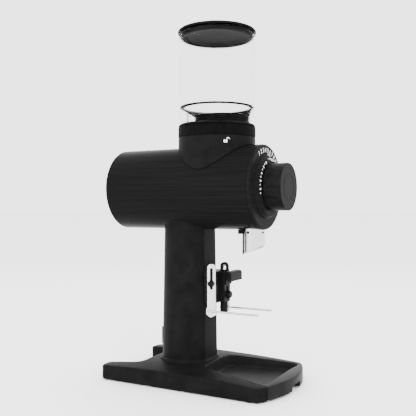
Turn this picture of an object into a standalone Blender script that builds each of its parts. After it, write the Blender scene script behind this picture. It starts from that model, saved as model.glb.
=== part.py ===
"""Burr coffee grinder with a horizontal barrel on a column, as separate parts.

Frame: metres, +Z up, the adjusting knob faces -Y, and the origin is on the surface it stands on.
Lengths along the barrel are written as "forward" distances, which is -Y.
"""

import math

import bmesh
import bpy
from mathutils import Matrix, Vector

MM = 0.001
GAP = 0.3 * MM  # clearance between neighbouring pieces

# Barrel, measured forward from the origin
AXIS_HEIGHT = 260.8 * MM
BARREL_RADIUS = 56 * MM
BARREL_BORE = 51.5 * MM
BARREL_REAR = -130.2 * MM
BARREL_FRONT = 84 * MM
PLATE_RADIUS = 55.8 * MM
PLATE_FRONT = 88.1 * MM
BOSS_FRONT = 94.6 * MM
KNOB_RADIUS = 30.8 * MM
KNOB_FRONT = 119.7 * MM

# Grinding set
BURR_RADIUS = 32 * MM
BURR_THICKNESS = 6 * MM
BURR_GAP = 0.9 * MM
BURR_PLANE = 71 * MM  # working face of the rotating burr
SHAFT_RADIUS = 5 * MM
SHAFT_HOLE = 5.15 * MM
AUGER_RADIUS = 17 * MM
AUGER_PITCH = 22 * MM

# Hopper stack, upright on its own axis
HOPPER_FORWARD = 15.6 * MM
COLLAR_RADIUS = 52.3 * MM
COLLAR_TOP = 327.9 * MM
RING_RADIUS = 52.5 * MM
RING_TOP = 343.1 * MM
HOPPER_BORE = 50.2 * MM
HOPPER_TOP = 470 * MM
FUNNEL_TOP = 370.4 * MM
FUNNEL_MOUTH = 46.6 * MM
NECK_RADIUS = 36.9 * MM
NECK_TOP = 356.3 * MM
NECK_SHIFT = 7.9 * MM  # the neck sits this far forward of the hopper axis
WINDOW_TURN = math.radians(28.1)
LID_RADIUS = 53.2 * MM
LID_TOP = 473.9 * MM

# Column and base
COLUMN_FORWARD = -26.6 * MM
COLUMN_RADIUS_TOP = 34.7 * MM
COLUMN_RADIUS_FOOT = 38.1 * MM
COLUMN_FLAT_TOP = 4.1 * MM
COLUMN_FLAT_FOOT = 7.3 * MM
COLUMN_BORE = 23 * MM
COLUMN_FOOT = 20 * MM
COLUMN_TOP = 232 * MM
PANEL_FORWARD = -60.5 * MM  # flat at the rear of the column for the inlet and the switch
BASE_BOTTOM = 1.5 * MM
BASE_HALF_WIDTH = 74.5 * MM
BASE_ARC_RADIUS = 137.6 * MM
BASE_FRONT = 130.2 * MM
BASE_REAR = -125.2 * MM
TRAY_HALF_REAR = 39.5 * MM
TRAY_REAR = 13.9 * MM
TRAY_SPREAD = 0.218  # the tray widens this much on each side per length forward
TRAY_FLOOR = 9 * MM
TRAY_WALL = 1.5 * MM
RECESS_REAR = 15.4 * MM
RECESS_FRONT = 112.8 * MM
WEB_FRONT = 112 * MM
WEB_TOP = 4 * MM
FOOT_RADIUS_FRONT = 5.5 * MM
FOOT_RADIUS_REAR = 7 * MM

# Spout and portafilter fork
SPOUT_FORWARD = 71.5 * MM
SPOUT_RADIUS = 13.7 * MM
SPOUT_BOTTOM = 172.8 * MM
KNOCKER_FORWARD = 55.3 * MM
FORK_BLOCK_HALF = 19.3 * MM
FORK_BLOCK_LOW = 107.3 * MM
FORK_BLOCK_HIGH = 148.6 * MM
FORK_PLATE_IN = 19.6 * MM
FORK_PLATE_OUT = 21.4 * MM
FORK_PLATE_FORWARD = 18.2 * MM
FORK_BOLT_HEIGHT = 132.8 * MM
ROD_RADIUS = 1.4 * MM
ROD_HEIGHT = 96.2 * MM
ROD_TIP = 86.9 * MM
SLIDER_HALF = 8.7 * MM
SLIDER_REAR = 20.8 * MM
SLIDER_FRONT = 31.5 * MM
SLIDER_TOP = 147.5 * MM
HOOK_FORWARD = 37.3 * MM
HOOK_HEIGHT = 144 * MM
THUMB_HEIGHT = 117.2 * MM

# name: colour, roughness, metallic, transmission
FINISHES = {
    "black_paint": ((0.020, 0.020, 0.021), 0.42, 0.0, 0.0),
    "black_anodised": ((0.016, 0.016, 0.017), 0.34, 0.6, 0.0),
    "black_plastic": ((0.012, 0.012, 0.012), 0.5, 0.0, 0.0),
    "rubber": ((0.010, 0.010, 0.010), 0.85, 0.0, 0.0),
    "steel": ((0.60, 0.60, 0.61), 0.22, 1.0, 0.0),
    "dark_steel": ((0.20, 0.20, 0.21), 0.4, 1.0, 0.0),
    "aluminium": ((0.55, 0.56, 0.57), 0.38, 1.0, 0.0),
    "copper": ((0.45, 0.20, 0.09), 0.45, 1.0, 0.0),
    "brass": ((0.60, 0.42, 0.16), 0.35, 1.0, 0.0),
    "board_green": ((0.02, 0.10, 0.04), 0.5, 0.0, 0.0),
    "clear_plastic": ((0.95, 0.97, 0.98), 0.05, 0.0, 1.0),
}

PARTS = "burr_coffee_grinder"
CUTTERS = "cutters"


# ---------------------------------------------------------------- helpers


def clear_scene():
    for obj in list(bpy.data.objects):
        bpy.data.objects.remove(obj, do_unlink=True)
    for name in (PARTS, CUTTERS):
        collection = bpy.data.collections.new(name)
        bpy.context.scene.collection.children.link(collection)


def finish_material(name, finish):
    colour, roughness, metallic, transmission = FINISHES[finish]
    made = bpy.data.materials.new(name)
    made.use_nodes = True
    shader = made.node_tree.nodes["Principled BSDF"]
    shader.inputs["Base Color"].default_value = (*colour, 1.0)
    shader.inputs["Roughness"].default_value = roughness
    shader.inputs["Metallic"].default_value = metallic
    shader.inputs["Transmission Weight"].default_value = transmission
    return made


def add_object(name, mesh, finish):
    """Links the mesh as a part, or as a hidden cutter when it has no finish."""
    obj = bpy.data.objects.new(name, mesh)
    if finish:
        bpy.data.collections[PARTS].objects.link(obj)
        mesh.materials.append(finish_material(name, finish))
        return obj
    bpy.data.collections[CUTTERS].objects.link(obj)
    obj.hide_render = True
    obj.display_type = "WIRE"
    return obj


def mesh_of(name, bm):
    mesh = bpy.data.meshes.new(name)
    bmesh.ops.recalc_face_normals(bm, faces=bm.faces)
    bm.to_mesh(mesh)
    bm.free()
    return mesh


def lay_forward(obj):
    """Puts a part made about local +Z on the barrel axis, with local +Z facing forward."""
    obj.location = (0, 0, AXIS_HEIGHT)
    obj.rotation_euler = (math.pi / 2, 0, 0)
    return obj


def turned(name, profile, finish, ring=True, steps=20):
    """A turned part: the profile runs down the outer side, and a ring's comes back up inside."""
    mesh = bpy.data.meshes.new(name)
    count = len(profile)
    edges = [(i, (i + 1) % count) for i in range(count if ring else count - 1)]
    mesh.from_pydata([(r, 0, z) for r, z in profile], edges, [])
    obj = add_object(name, mesh, finish)
    screw = obj.modifiers.new("turn", "SCREW")
    screw.steps = screw.render_steps = steps
    screw.use_merge_vertices = True
    screw.merge_threshold = 1e-5
    screw.use_smooth_shade = True
    return obj


def sleeve(name, outer, inner, high, low, finish, steps=20):
    return turned(name, [(outer, high), (outer, low), (inner, low), (inner, high)], finish, steps=steps)


def disc(name, radius, high, low, finish, steps=20):
    return turned(name, [(0, high), (radius, high), (radius, low), (0, low)], finish, False, steps)


def block(name, low, high, finish):
    bm = bmesh.new()
    bmesh.ops.create_cube(bm, size=1)
    low, high = Vector(low), Vector(high)
    bmesh.ops.scale(bm, vec=high - low, verts=bm.verts)
    bmesh.ops.translate(bm, vec=(high + low) / 2, verts=bm.verts)
    return add_object(name, mesh_of(name, bm), finish)


def rod(name, start, end, radius, finish, sides=16):
    """A cylinder between two points."""
    start, end = Vector(start), Vector(end)
    turn = Vector((0, 0, 1)).rotation_difference(end - start).to_matrix().to_4x4()
    bm = bmesh.new()
    bmesh.ops.create_cone(
        bm,
        cap_ends=True,
        segments=sides,
        radius1=radius,
        radius2=radius,
        depth=(end - start).length,
        matrix=Matrix.Translation((start + end) / 2) @ turn,
    )
    return add_object(name, mesh_of(name, bm), finish)


def rounded(corners, steps=5):
    """Points of an outline whose corners (x, y, radius) are rounded."""
    points = []
    for i, (x, y, radius) in enumerate(corners):
        here = Vector((x, y))
        if not radius:
            points.append(here)
            continue
        to_last = (Vector(corners[i - 1][:2]) - here).normalized()
        to_next = (Vector(corners[(i + 1) % len(corners)][:2]) - here).normalized()
        half = to_last.angle(to_next) / 2
        centre = here + (to_last + to_next).normalized() * (radius / math.sin(half))
        first = here + to_last * (radius / math.tan(half)) - centre
        turn = first.angle_signed(here + to_next * (radius / math.tan(half)) - centre)
        for step in range(steps + 1):
            points.append(centre + Matrix.Rotation(-turn * step / steps, 2) @ first)
    return points


def slab(name, outline, thickness, finish, place=Matrix()):
    """A flat outline given a thickness, from local z = 0 up, then placed."""
    curve = bpy.data.curves.new(name, "CURVE")
    curve.dimensions = "2D"
    curve.fill_mode = "BOTH"
    curve.extrude = thickness / 2
    spline = curve.splines.new("POLY")
    spline.points.add(len(outline) - 1)
    for point, (x, y) in zip(spline.points, outline):
        point.co = (x, y, 0, 1)
    spline.use_cyclic_u = True
    drawn = bpy.data.objects.new(name, curve)
    bpy.context.scene.collection.objects.link(drawn)
    bpy.context.view_layer.update()
    solid = bpy.data.meshes.new_from_object(drawn.evaluated_get(bpy.context.evaluated_depsgraph_get()))
    bpy.data.objects.remove(drawn, do_unlink=True)
    bm = bmesh.new()
    bm.from_mesh(solid)
    bmesh.ops.remove_doubles(bm, verts=bm.verts, dist=1e-6)
    bmesh.ops.translate(bm, vec=(0, 0, thickness / 2), verts=bm.verts)
    bmesh.ops.transform(bm, matrix=place, verts=bm.verts)
    return add_object(name, mesh_of(name, bm), finish)


def loft(name, sections, finish, closed=False):
    """A skin over sections of equal point count, capped at both ends unless it is closed on itself."""
    bm = bmesh.new()
    rings = [[bm.verts.new(point) for point in section] for section in sections]
    pairs = list(zip(rings, rings[1:]))
    if closed:
        pairs.append((rings[-1], rings[0]))
    for one, two in pairs:
        for i in range(len(one)):
            j = (i + 1) % len(one)
            bm.faces.new((one[i], one[j], two[j], two[i]))
    if not closed:
        bm.faces.new(rings[0])
        bm.faces.new(rings[-1])
    return add_object(name, mesh_of(name, bm), finish)


def pivot(obj, point):
    """Moves the object's origin to a point, as on its joint's axis, and leaves its shape in place."""
    obj.data.transform(Matrix.Translation(-Vector(point)))
    obj.location = point
    return obj


def boolean(obj, other, operation):
    change = obj.modifiers.new(other.name, "BOOLEAN")
    change.operation = operation
    change.solver = "EXACT"
    change.object = other


def cut(obj, *cutters):
    for cutter in cutters:
        boolean(obj, cutter, "DIFFERENCE")


def join(obj, *others):
    for other in others:
        boolean(obj, other, "UNION")


def bored(name, radius, x, forward, low, high, sides=24):
    """An upright drill."""
    return rod(name, (x, -forward, low), (x, -forward, high), radius, None, sides)


def barrel_cutter(name, radius):
    """A cylinder on the barrel axis, longer than the barrel."""
    return rod(name, (0, -0.2, AXIS_HEIGHT), (0, 0.2, AXIS_HEIGHT), radius, None, 44)


# Plate directions: a slab drawn in (forward, height) that is as thick as X
SIDEWAYS = Matrix(((0, 0, 1, 0), (-1, 0, 0, 0), (0, 1, 0, 0), (0, 0, 0, 1)))


# ---------------------------------------------------------------- base


def smooth(value):
    value = min(max(value, 0), 1)
    return value * value * (3 - 2 * value)


def crown_height(x, y):
    """Height of the crowned top of the base, highest round the column."""
    away = y + COLUMN_FORWARD
    if away > 0:
        part = away / (98 * MM)
        middle, edge = 28 - 8 * part**1.6, 22.2 - 2.5 * part**2
    else:
        part = -away / (142 * MM)
        middle, edge = 28 - 7 * part**1.6, 22.2 - 4.8 * part**2
    across = max(0, 1 - (abs(x) / BASE_HALF_WIDTH) ** 2.2)
    return (edge + (middle - edge) * across) * MM


def add_crown():
    """Everything under the crowned surface, as a solid to keep."""
    bm = bmesh.new()
    bmesh.ops.create_grid(bm, x_segments=8, y_segments=12, size=1)
    for vert in bm.verts:
        x, y = vert.co.x * 80 * MM, vert.co.y * 136 * MM
        vert.co = (x, y, crown_height(x, y))
    grown = bmesh.ops.extrude_face_region(bm, geom=bm.faces[:])
    for item in grown["geom"]:
        if isinstance(item, bmesh.types.BMVert):
            item.co.z = -10 * MM
    return add_object("crown", mesh_of("crown", bm), None)


def front_arc(half, steps=10):
    """Points along the bowed front edge, from +X to -X."""
    points = []
    for i in range(steps + 1):
        x = half * (1 - 2 * i / steps)
        sag = BASE_ARC_RADIUS - math.sqrt(BASE_ARC_RADIUS**2 - x * x)
        points.append((x, sag - BASE_FRONT, 0))
    return points


def base_outline():
    """Plan of the base: two rear legs either side of a notch, and a bowed front."""
    sag = BASE_ARC_RADIUS - math.sqrt(BASE_ARC_RADIUS**2 - BASE_HALF_WIDTH**2)
    right = [
        (46.5 * MM, 77 * MM, 14 * MM),
        (52 * MM, -BASE_REAR, 5 * MM),
        (BASE_HALF_WIDTH, -BASE_REAR, 8 * MM),
        (BASE_HALF_WIDTH, sag - BASE_FRONT, 9 * MM),
    ]
    left = [(-x, y, r) for x, y, r in reversed(right)]
    return rounded(right + front_arc(65 * MM) + left, 4)


def tray_half(forward):
    return TRAY_HALF_REAR + TRAY_SPREAD * (forward - TRAY_REAR)


def wedge(rear, front, inset, radius, front_radius=0):
    """Corners of a plan that widens forward, set in from the sides of the tray."""
    near, far = tray_half(front) - inset, tray_half(rear) - inset
    return rounded(
        [
            (far, -rear, radius),
            (near, -front, front_radius),
            (-near, -front, front_radius),
            (-far, -rear, radius),
        ],
        4,
    )


def add_base(crown):
    low = Matrix.Translation((0, 0, BASE_BOTTOM))
    base = slab("base_casting", base_outline(), 30 * MM, "black_paint", low)
    boolean(base, crown, "INTERSECT")
    bay = slab("tray_bay", wedge(TRAY_REAR - GAP, 0.15, -GAP, 12 * MM), 0.1, None)
    bay.location.z = WEB_TOP
    front = slab("web_front", wedge(WEB_FRONT, 0.15, -GAP, 0), 0.05, None)
    front.location.z = -0.02
    cut(base, bay, front)
    cut(base, column_solid("column_pocket", GAP, COLUMN_FOOT - GAP, 60 * MM, None))
    cut(base, bored("bolt_way", 4.5 * MM, 0, COLUMN_FORWARD, -0.01, 40 * MM, 16))
    cut(base, bored("bolt_counterbore", 9.5 * MM, 0, COLUMN_FORWARD, -0.01, 10 * MM, 20))
    for name, radius, x, y in foot_places():
        cut(base, bored(f"{name}_pocket", radius + GAP, x, -y, -0.01, 3.6 * MM, 12))
    return base


def foot_places():
    for side, sign in (("left", -1), ("right", 1)):
        yield f"foot_front_{side}", FOOT_RADIUS_FRONT, sign * 67.8 * MM, -95 * MM
        yield f"foot_rear_{side}", FOOT_RADIUS_REAR, sign * 62 * MM, 108 * MM


def add_feet():
    for name, radius, x, y in foot_places():
        profile = [(0, 3.3 * MM), (radius, 3.3 * MM), (radius, 0.8 * MM), (radius - 0.8 * MM, 0), (0, 0)]
        turned(name, profile, "rubber", False, 16).location = (x, y, 0)


def add_tray(crown):
    """Grounds tray: it slides forward out of the base over the web."""
    outline = [
        (-TRAY_HALF_REAR, -TRAY_REAR, 11.7 * MM),
        (TRAY_HALF_REAR, -TRAY_REAR, 11.7 * MM),
        *front_arc(61.6 * MM),
    ]
    low = Matrix.Translation((0, 0, 2.4 * MM))
    tray = slab("grounds_tray", rounded(outline, 4), 30 * MM, "black_paint", low)
    boolean(tray, crown, "INTERSECT")
    sections = []
    for height, inset in ((TRAY_FLOOR, 3 * MM), (13 * MM, 0), (34 * MM, 0)):
        plan = wedge(RECESS_REAR + inset, RECESS_FRONT - inset, TRAY_WALL + inset, 10 * MM, 7 * MM)
        sections.append([(x, y, height) for x, y in plan])
    cut(tray, loft("tray_recess", sections, None))
    under = WEB_TOP + GAP
    cut(tray, block("tray_underside", (-0.1, -WEB_FRONT - GAP, -0.01), (0.1, 0.01, under), None))
    cut(tray, block("finger_pull", (-14 * MM, -0.2, -0.01), (14 * MM, -117 * MM, 10 * MM), None))
    return tray


# ---------------------------------------------------------------- column


def column_section(height, grow):
    """Round section with a flat front, which widens downwards."""
    part = (COLUMN_TOP - height) / (COLUMN_TOP - COLUMN_FOOT)
    radius = COLUMN_RADIUS_TOP + (COLUMN_RADIUS_FOOT - COLUMN_RADIUS_TOP) * part + grow
    flat = COLUMN_FLAT_TOP + (COLUMN_FLAT_FOOT - COLUMN_FLAT_TOP) * part - COLUMN_FORWARD + grow
    half = math.acos(flat / radius)
    points = []
    for i in range(27):
        angle = half + (2 * math.pi - 2 * half) * i / 26
        points.append((radius * math.sin(angle), -COLUMN_FORWARD - radius * math.cos(angle), height))
    return points


def column_solid(name, grow, low, high, finish):
    return loft(name, [column_section(low, grow), column_section(high, grow)], finish)


def add_column():
    column = column_solid("column", 0, COLUMN_FOOT, COLUMN_TOP, "black_paint")
    cut(column, barrel_cutter("column_saddle", BARREL_RADIUS + GAP))
    cut(column, bored("column_bore", COLUMN_BORE, 0, COLUMN_FORWARD, 34 * MM, 0.3))
    cut(column, bored("column_thread", 4.15 * MM, 0, COLUMN_FORWARD, 0, 40 * MM))
    cut(column, block("rear_panel", (-0.1, -PANEL_FORWARD, 38 * MM), (0.1, 0.1, 112 * MM), None))
    cut(column, block("inlet_hole", (-14 * MM, 30 * MM, 46 * MM), (14 * MM, 0.1, 66 * MM), None))
    cut(column, block("switch_hole", (-7 * MM, 30 * MM, 81 * MM), (7 * MM, 0.1, 101 * MM), None))
    return column


def add_column_bolt():
    bolt = turned(
        "column_bolt",
        [
            (0, 30 * MM),
            (4 * MM, 30 * MM),
            (4 * MM, 9.6 * MM),
            (8.5 * MM, 9.6 * MM),
            (8.5 * MM, 3.4 * MM),
            (4 * MM, 3.4 * MM),
            (3 * MM, 6 * MM),
            (0, 6 * MM),
        ],
        "dark_steel",
        False,
        24,
    )
    bolt.location = (0, -COLUMN_FORWARD, 0)


def add_power_entry():
    """Mains inlet with its three pins, and the rocker switch above it."""
    face = -PANEL_FORWARD + GAP
    low, high = (-15 * MM, face, 44 * MM), (15 * MM, face + 2.5 * MM, 68 * MM)
    inlet = block("power_inlet", low, high, "black_plastic")
    low, high = (-13.5 * MM, 44 * MM, 46.5 * MM), (13.5 * MM, face + 1 * MM, 65.5 * MM)
    join(inlet, block("inlet_body", low, high, None))
    cut(inlet, block("inlet_socket", (-11.8 * MM, 47 * MM, 48.5 * MM), (11.8 * MM, 0.1, 63.5 * MM), None))
    for x, z in ((-7, 58), (0, 54), (7, 58)):
        join(
            inlet,
            block(
                f"inlet_pin_{x + 7}",
                ((x - 1) * MM, 45 * MM, (z - 2) * MM),
                ((x + 1) * MM, 60 * MM, (z + 2) * MM),
                None,
            ),
        )
    low, high = (-8.5 * MM, face, 79 * MM), (8.5 * MM, face + 2 * MM, 103 * MM)
    frame = block("switch_frame", low, high, "black_plastic")
    low, high = (-6.5 * MM, 46 * MM, 82 * MM), (6.5 * MM, face + 1 * MM, 100 * MM)
    join(frame, block("switch_body", low, high, None))
    cut(frame, block("rocker_well", (-5.2 * MM, 52 * MM, 83.5 * MM), (5.2 * MM, 0.1, 98.5 * MM), None))
    outline = [(-6.3, -2.6), (6.3, -2.6), (6.3, 1.2), (0, 3.2), (-6.3, 4.6)]
    rocker = slab(
        "switch_rocker",
        [(along * MM, out * MM) for along, out in outline],
        9.6 * MM,
        "black_plastic",
        Matrix(((0, 0, 1, -4.8 * MM), (0, 1, 0, 0), (1, 0, 0, 0), (0, 0, 0, 1))),
    )
    rocker.location = (0, 59.6 * MM, 91 * MM)


def tube_along(name, points, radius, finish):
    """A cable as a bevelled curve through its points."""
    curve = bpy.data.curves.new(name, "CURVE")
    curve.dimensions = "3D"
    curve.bevel_depth = radius
    curve.bevel_resolution = 1
    curve.use_fill_caps = True
    spline = curve.splines.new("POLY")
    spline.points.add(len(points) - 1)
    for point, place in zip(spline.points, points):
        point.co = (*place, 1)
    obj = bpy.data.objects.new(name, curve)
    bpy.data.collections[PARTS].objects.link(obj)
    curve.materials.append(finish_material(name, finish))
    return obj


def add_electrics():
    """Control board inside the column, and the motor lead up to the barrel."""
    block("control_board", (-17 * MM, 12 * MM, 112 * MM), (17 * MM, 13.6 * MM, 184 * MM), "board_green")
    rod("capacitor", (6 * MM, 22.6 * MM, 125 * MM), (6 * MM, 22.6 * MM, 155 * MM), 8 * MM, "aluminium", 20)
    points = []
    for i in range(13):
        part = i / 12
        across = -9 * MM * math.sin(math.pi * part)
        points.append((across, (38 - 14 * smooth(part)) * MM, (101 + 102 * part) * MM))
    tube_along("motor_lead", points, 2.6 * MM, "rubber")


# ---------------------------------------------------------------- barrel


def add_housing():
    """Barrel tube with a throat at the top, and ways for the lead and the grounds below."""
    chamfer = 1 * MM
    ends = (BARREL_FRONT, BARREL_REAR)
    housing = sleeve("barrel_housing", BARREL_RADIUS, BARREL_BORE, *ends, "black_paint", 44)
    housing.data.vertices[1].co.x -= chamfer
    lay_forward(housing)
    cut(housing, bored("throat_way", 22 * MM, 0, HOPPER_FORWARD, AXIS_HEIGHT, 0.4))
    cut(housing, bored("lead_way", 10 * MM, 0, COLUMN_FORWARD, 0.19, AXIS_HEIGHT))
    cut(housing, bored("grounds_way", 12.6 * MM, 0, SPOUT_FORWARD, 0.19, AXIS_HEIGHT))
    return housing


def add_rear_cap():
    """Rear cover with a ring of cooling slots, set just inside the barrel."""
    cap = disc("rear_cap", BARREL_BORE - GAP, -124.5 * MM, -128.6 * MM, "black_plastic", 32)
    lay_forward(cap)
    for i in range(8):
        angle = 2 * math.pi * i / 8
        inner, outer = 20 * MM, 42 * MM
        slot = slab(
            f"cooling_slot_{i}",
            rounded(
                [
                    (-2 * MM, inner, 1.9 * MM),
                    (2 * MM, inner, 1.9 * MM),
                    (2 * MM, outer, 1.9 * MM),
                    (-2 * MM, outer, 1.9 * MM),
                ],
                1,
            ),
            20 * MM,
            None,
        )
        slot.matrix_world = (
            Matrix.Translation((0, 0.136, AXIS_HEIGHT))
            @ Matrix.Rotation(math.pi / 2, 4, "X")
            @ Matrix.Rotation(angle, 4, "Z")
        )
        cut(cap, slot)


def add_motor():
    plate = turned(
        "motor_front_plate",
        [
            (BARREL_BORE - GAP, -18 * MM),
            (BARREL_BORE - GAP, -25 * MM),
            (16 * MM, -25 * MM),
            (16 * MM, -29 * MM),
            (13.3 * MM, -29 * MM),
            (13.3 * MM, -20.6 * MM),
            (9 * MM, -20.6 * MM),
            (9 * MM, -18 * MM),
        ],
        "aluminium",
        steps=32,
    )
    lay_forward(plate)
    lay_forward(sleeve("front_bearing", 13 * MM, SHAFT_HOLE, -21 * MM, -29 * MM, "steel", 20))
    plate = turned(
        "motor_rear_plate",
        [
            (BARREL_BORE - GAP, -100 * MM),
            (BARREL_BORE - GAP, -105 * MM),
            (11.3 * MM, -105 * MM),
            (11.3 * MM, -100 * MM),
        ],
        "aluminium",
        steps=32,
    )
    lay_forward(plate)
    for i in range(4):
        angle = math.pi / 4 + math.pi / 2 * i
        x, z = 34 * MM * math.cos(angle), 34 * MM * math.sin(angle) + AXIS_HEIGHT
        cut(plate, rod(f"air_way_{i}", (x, 0.09, z), (x, 0.12, z), 11 * MM, None, 20))
    lay_forward(sleeve("rear_bearing", 11 * MM, SHAFT_HOLE, -99 * MM, -106 * MM, "steel", 20))
    lay_forward(
        turned(
            "motor_stator",
            [
                (38 * MM, -29.6 * MM),
                (38 * MM, -36 * MM),
                (46 * MM, -36 * MM),
                (46 * MM, -92 * MM),
                (38 * MM, -92 * MM),
                (38 * MM, -98 * MM),
                (28 * MM, -98 * MM),
                (28 * MM, -92 * MM),
                (26 * MM, -92 * MM),
                (26 * MM, -36 * MM),
                (28 * MM, -36 * MM),
                (28 * MM, -29.6 * MM),
            ],
            "copper",
            steps=24,
        )
    )
    lay_forward(sleeve("motor_rotor", 25.4 * MM, SHAFT_HOLE, -37 * MM, -91 * MM, "dark_steel", 24))
    lay_forward(disc("drive_shaft", SHAFT_RADIUS, 70.4 * MM, -119 * MM, "steel", 20))
    hub = sleeve("cooling_fan", 13 * MM, SHAFT_HOLE, -109 * MM, -118.5 * MM, "black_plastic", 24)
    fan = lay_forward(hub)
    for i in range(6):
        blade = block(f"fan_blade_{i}", (11.5 * MM, -0.8 * MM, -4 * MM), (43 * MM, 0.8 * MM, 4 * MM), None)
        blade.matrix_world = (
            Matrix.Translation((0, 0.1138, AXIS_HEIGHT))
            @ Matrix.Rotation(math.pi / 2, 4, "X")
            @ Matrix.Rotation(2 * math.pi * i / 6, 4, "Z")
            @ Matrix.Rotation(math.radians(35), 4, "X")
        )
        join(fan, blade)


def add_auger():
    """Feed screw that carries the beans forward along the shaft."""
    auger = lay_forward(sleeve("feed_auger", 8 * MM, SHAFT_HOLE, 56 * MM, -13 * MM, "steel", 20))
    sections = []
    turns, steps = 2.7, 12
    for i in range(int(turns * steps) + 1):
        angle = 2 * math.pi * i / steps
        middle = -8 * MM + AUGER_PITCH * i / steps
        across = Vector((math.cos(angle), math.sin(angle), 0))
        root, tip = across * 7 * MM, across * AUGER_RADIUS
        lift = Vector((0, 0, middle))
        thick = Vector((0, 0, 1.1 * MM))
        thin = thick * 0.6
        sections.append([root + lift - thick, tip + lift - thin, tip + lift + thin, root + lift + thick])
    flight = lay_forward(loft("auger_flight", sections, None))
    join(auger, flight)


def burr(name, working, forward):
    """A flat burr ring with radial flutes in its working face; forward says which way it faces."""
    back = working - forward * BURR_THICKNESS
    high, low = max(working, back), min(working, back)
    inner = 20 * MM
    ring = sleeve(name, BURR_RADIUS, inner, high, low, "dark_steel", 24)
    for i, vert in enumerate(ring.data.vertices):
        if i >= 2 and abs(vert.co.z - working) < 1e-6:
            vert.co.z -= forward * 2.2 * MM
    lay_forward(ring)
    for i in range(8):
        flute = block(f"{name}_flute_{i}", (-1 * MM, 17 * MM, -1.5 * MM), (1 * MM, 30 * MM, 1.5 * MM), None)
        flute.matrix_world = (
            Matrix.Translation((0, -working + forward * 1.2 * MM, AXIS_HEIGHT))
            @ Matrix.Rotation(math.pi / 2, 4, "X")
            @ Matrix.Rotation(2 * math.pi * i / 8, 4, "Z")
            @ Matrix.Rotation(math.radians(-7 * forward), 4, "X")
            @ Matrix.Translation((5 * MM, 0, 0))
        )
        cut(ring, flute)
    return ring


def add_grinding_set():
    burr("rotating_burr", BURR_PLANE, 1)
    back = BURR_PLANE - BURR_THICKNESS - GAP
    carrier = lay_forward(sleeve("burr_carrier", 33 * MM, SHAFT_HOLE, back, 58.4 * MM, "steel", 20))
    for i in range(3):
        window = slab(
            f"feed_window_{i}",
            [(9 * MM, -9 * MM), (18.6 * MM, -9 * MM), (18.6 * MM, 9 * MM), (9 * MM, 9 * MM)],
            30 * MM,
            None,
        )
        window.matrix_world = (
            Matrix.Translation((0, -0.05, AXIS_HEIGHT))
            @ Matrix.Rotation(math.pi / 2, 4, "X")
            @ Matrix.Rotation(2 * math.pi * i / 3, 4, "Z")
        )
        cut(carrier, window)
    nut = [
        (0, 74.5 * MM),
        (6.5 * MM, 74.5 * MM),
        (8.6 * MM, 71.5 * MM),
        (8.6 * MM, back + GAP),
        (SHAFT_HOLE, back + GAP),
        (SHAFT_HOLE, 70.7 * MM),
        (0, 70.7 * MM),
    ]
    lay_forward(turned("burr_nut", nut, "steel", False, 24))
    face = BURR_PLANE + BURR_GAP
    burr("stationary_burr", face, -1)
    rear = face + BURR_THICKNESS + GAP
    holder = [
        (34 * MM, rear + 2.6 * MM),
        (34 * MM, rear),
        (8.2 * MM, rear),
        (8.2 * MM, rear + 2.6 * MM),
    ]
    lay_forward(turned("burr_holder", holder, "aluminium", steps=24))


def add_chamber():
    """Grinding chamber, feed throat and the socket that the spout hangs on."""
    chamber = turned(
        "grind_chamber",
        [
            (BARREL_BORE - GAP, 83.6 * MM),
            (BARREL_BORE - GAP, 50 * MM),
            (19.5 * MM, 50 * MM),
            (19.5 * MM, 54 * MM),
            (36.5 * MM, 54 * MM),
            (36.5 * MM, 83.6 * MM),
        ],
        "aluminium",
        steps=32,
    )
    lay_forward(chamber)
    cut(chamber, bored("chamber_exit", 10 * MM, 0, SPOUT_FORWARD, 0.19, 0.24, 24))
    throat = lay_forward(sleeve("feed_throat", 22 * MM, 18 * MM, 49.6 * MM, -14 * MM, "aluminium", 20))
    chute = bored("throat_stub", 21.4 * MM, 0, HOPPER_FORWARD, AXIS_HEIGHT + 15 * MM, AXIS_HEIGHT + 64 * MM)
    join(throat, chute)
    cut(throat, bored("throat_bore", 17.5 * MM, 0, HOPPER_FORWARD, AXIS_HEIGHT, 0.4))
    cut(throat, lay_forward(disc("throat_clear", 17.95 * MM, 60 * MM, -30 * MM, None, 24)))
    socket = sleeve("spout_socket", 12.2 * MM, 10 * MM, 0, -18 * MM, "black_plastic", 20)
    socket.location = (0, -SPOUT_FORWARD, 214.6 * MM)
    cut(socket, barrel_cutter("socket_top", BARREL_BORE + 0.6 * MM))


def add_spout():
    """Spout tube, cut obliquely so that its rear lip hangs lower, with its screws and knocker."""
    spout = sleeve("grind_spout", SPOUT_RADIUS, 12.5 * MM, 0.212, SPOUT_BOTTOM, "steel", 24)
    spout.location = (0, -SPOUT_FORWARD, 0)
    cut(spout, barrel_cutter("spout_saddle", BARREL_RADIUS + GAP))
    slant = block("spout_slant", (-0.05, -0.06, -0.05), (0.05, 0.06, 0), None)
    lip = Matrix.Translation((0, -SPOUT_FORWARD + SPOUT_RADIUS, SPOUT_BOTTOM))
    slant.matrix_world = lip @ Matrix.Rotation(math.radians(-23), 4, "X")
    cut(spout, slant)
    for name, bearing in (("spout_screw_side", 166), ("spout_screw_front", 255)):
        out = Vector((math.cos(math.radians(bearing)), math.sin(math.radians(bearing)), 0))
        centre = Vector((0, -SPOUT_FORWARD, 201.4 * MM))
        hole = rod(f"{name}_hole", centre + out * 9 * MM, centre + out * 20 * MM, 1.35 * MM, None, 14)
        cut(spout, hole)
        cut(bpy.data.objects["spout_socket"], hole)
        screw = rod(name, centre + out * 10.6 * MM, centre + out * 14.6 * MM, 1.05 * MM, "dark_steel", 14)
        join(screw, rod(f"{name}_head", centre + out * 14 * MM, centre + out * 15.4 * MM, 2 * MM, None, 16))


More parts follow.
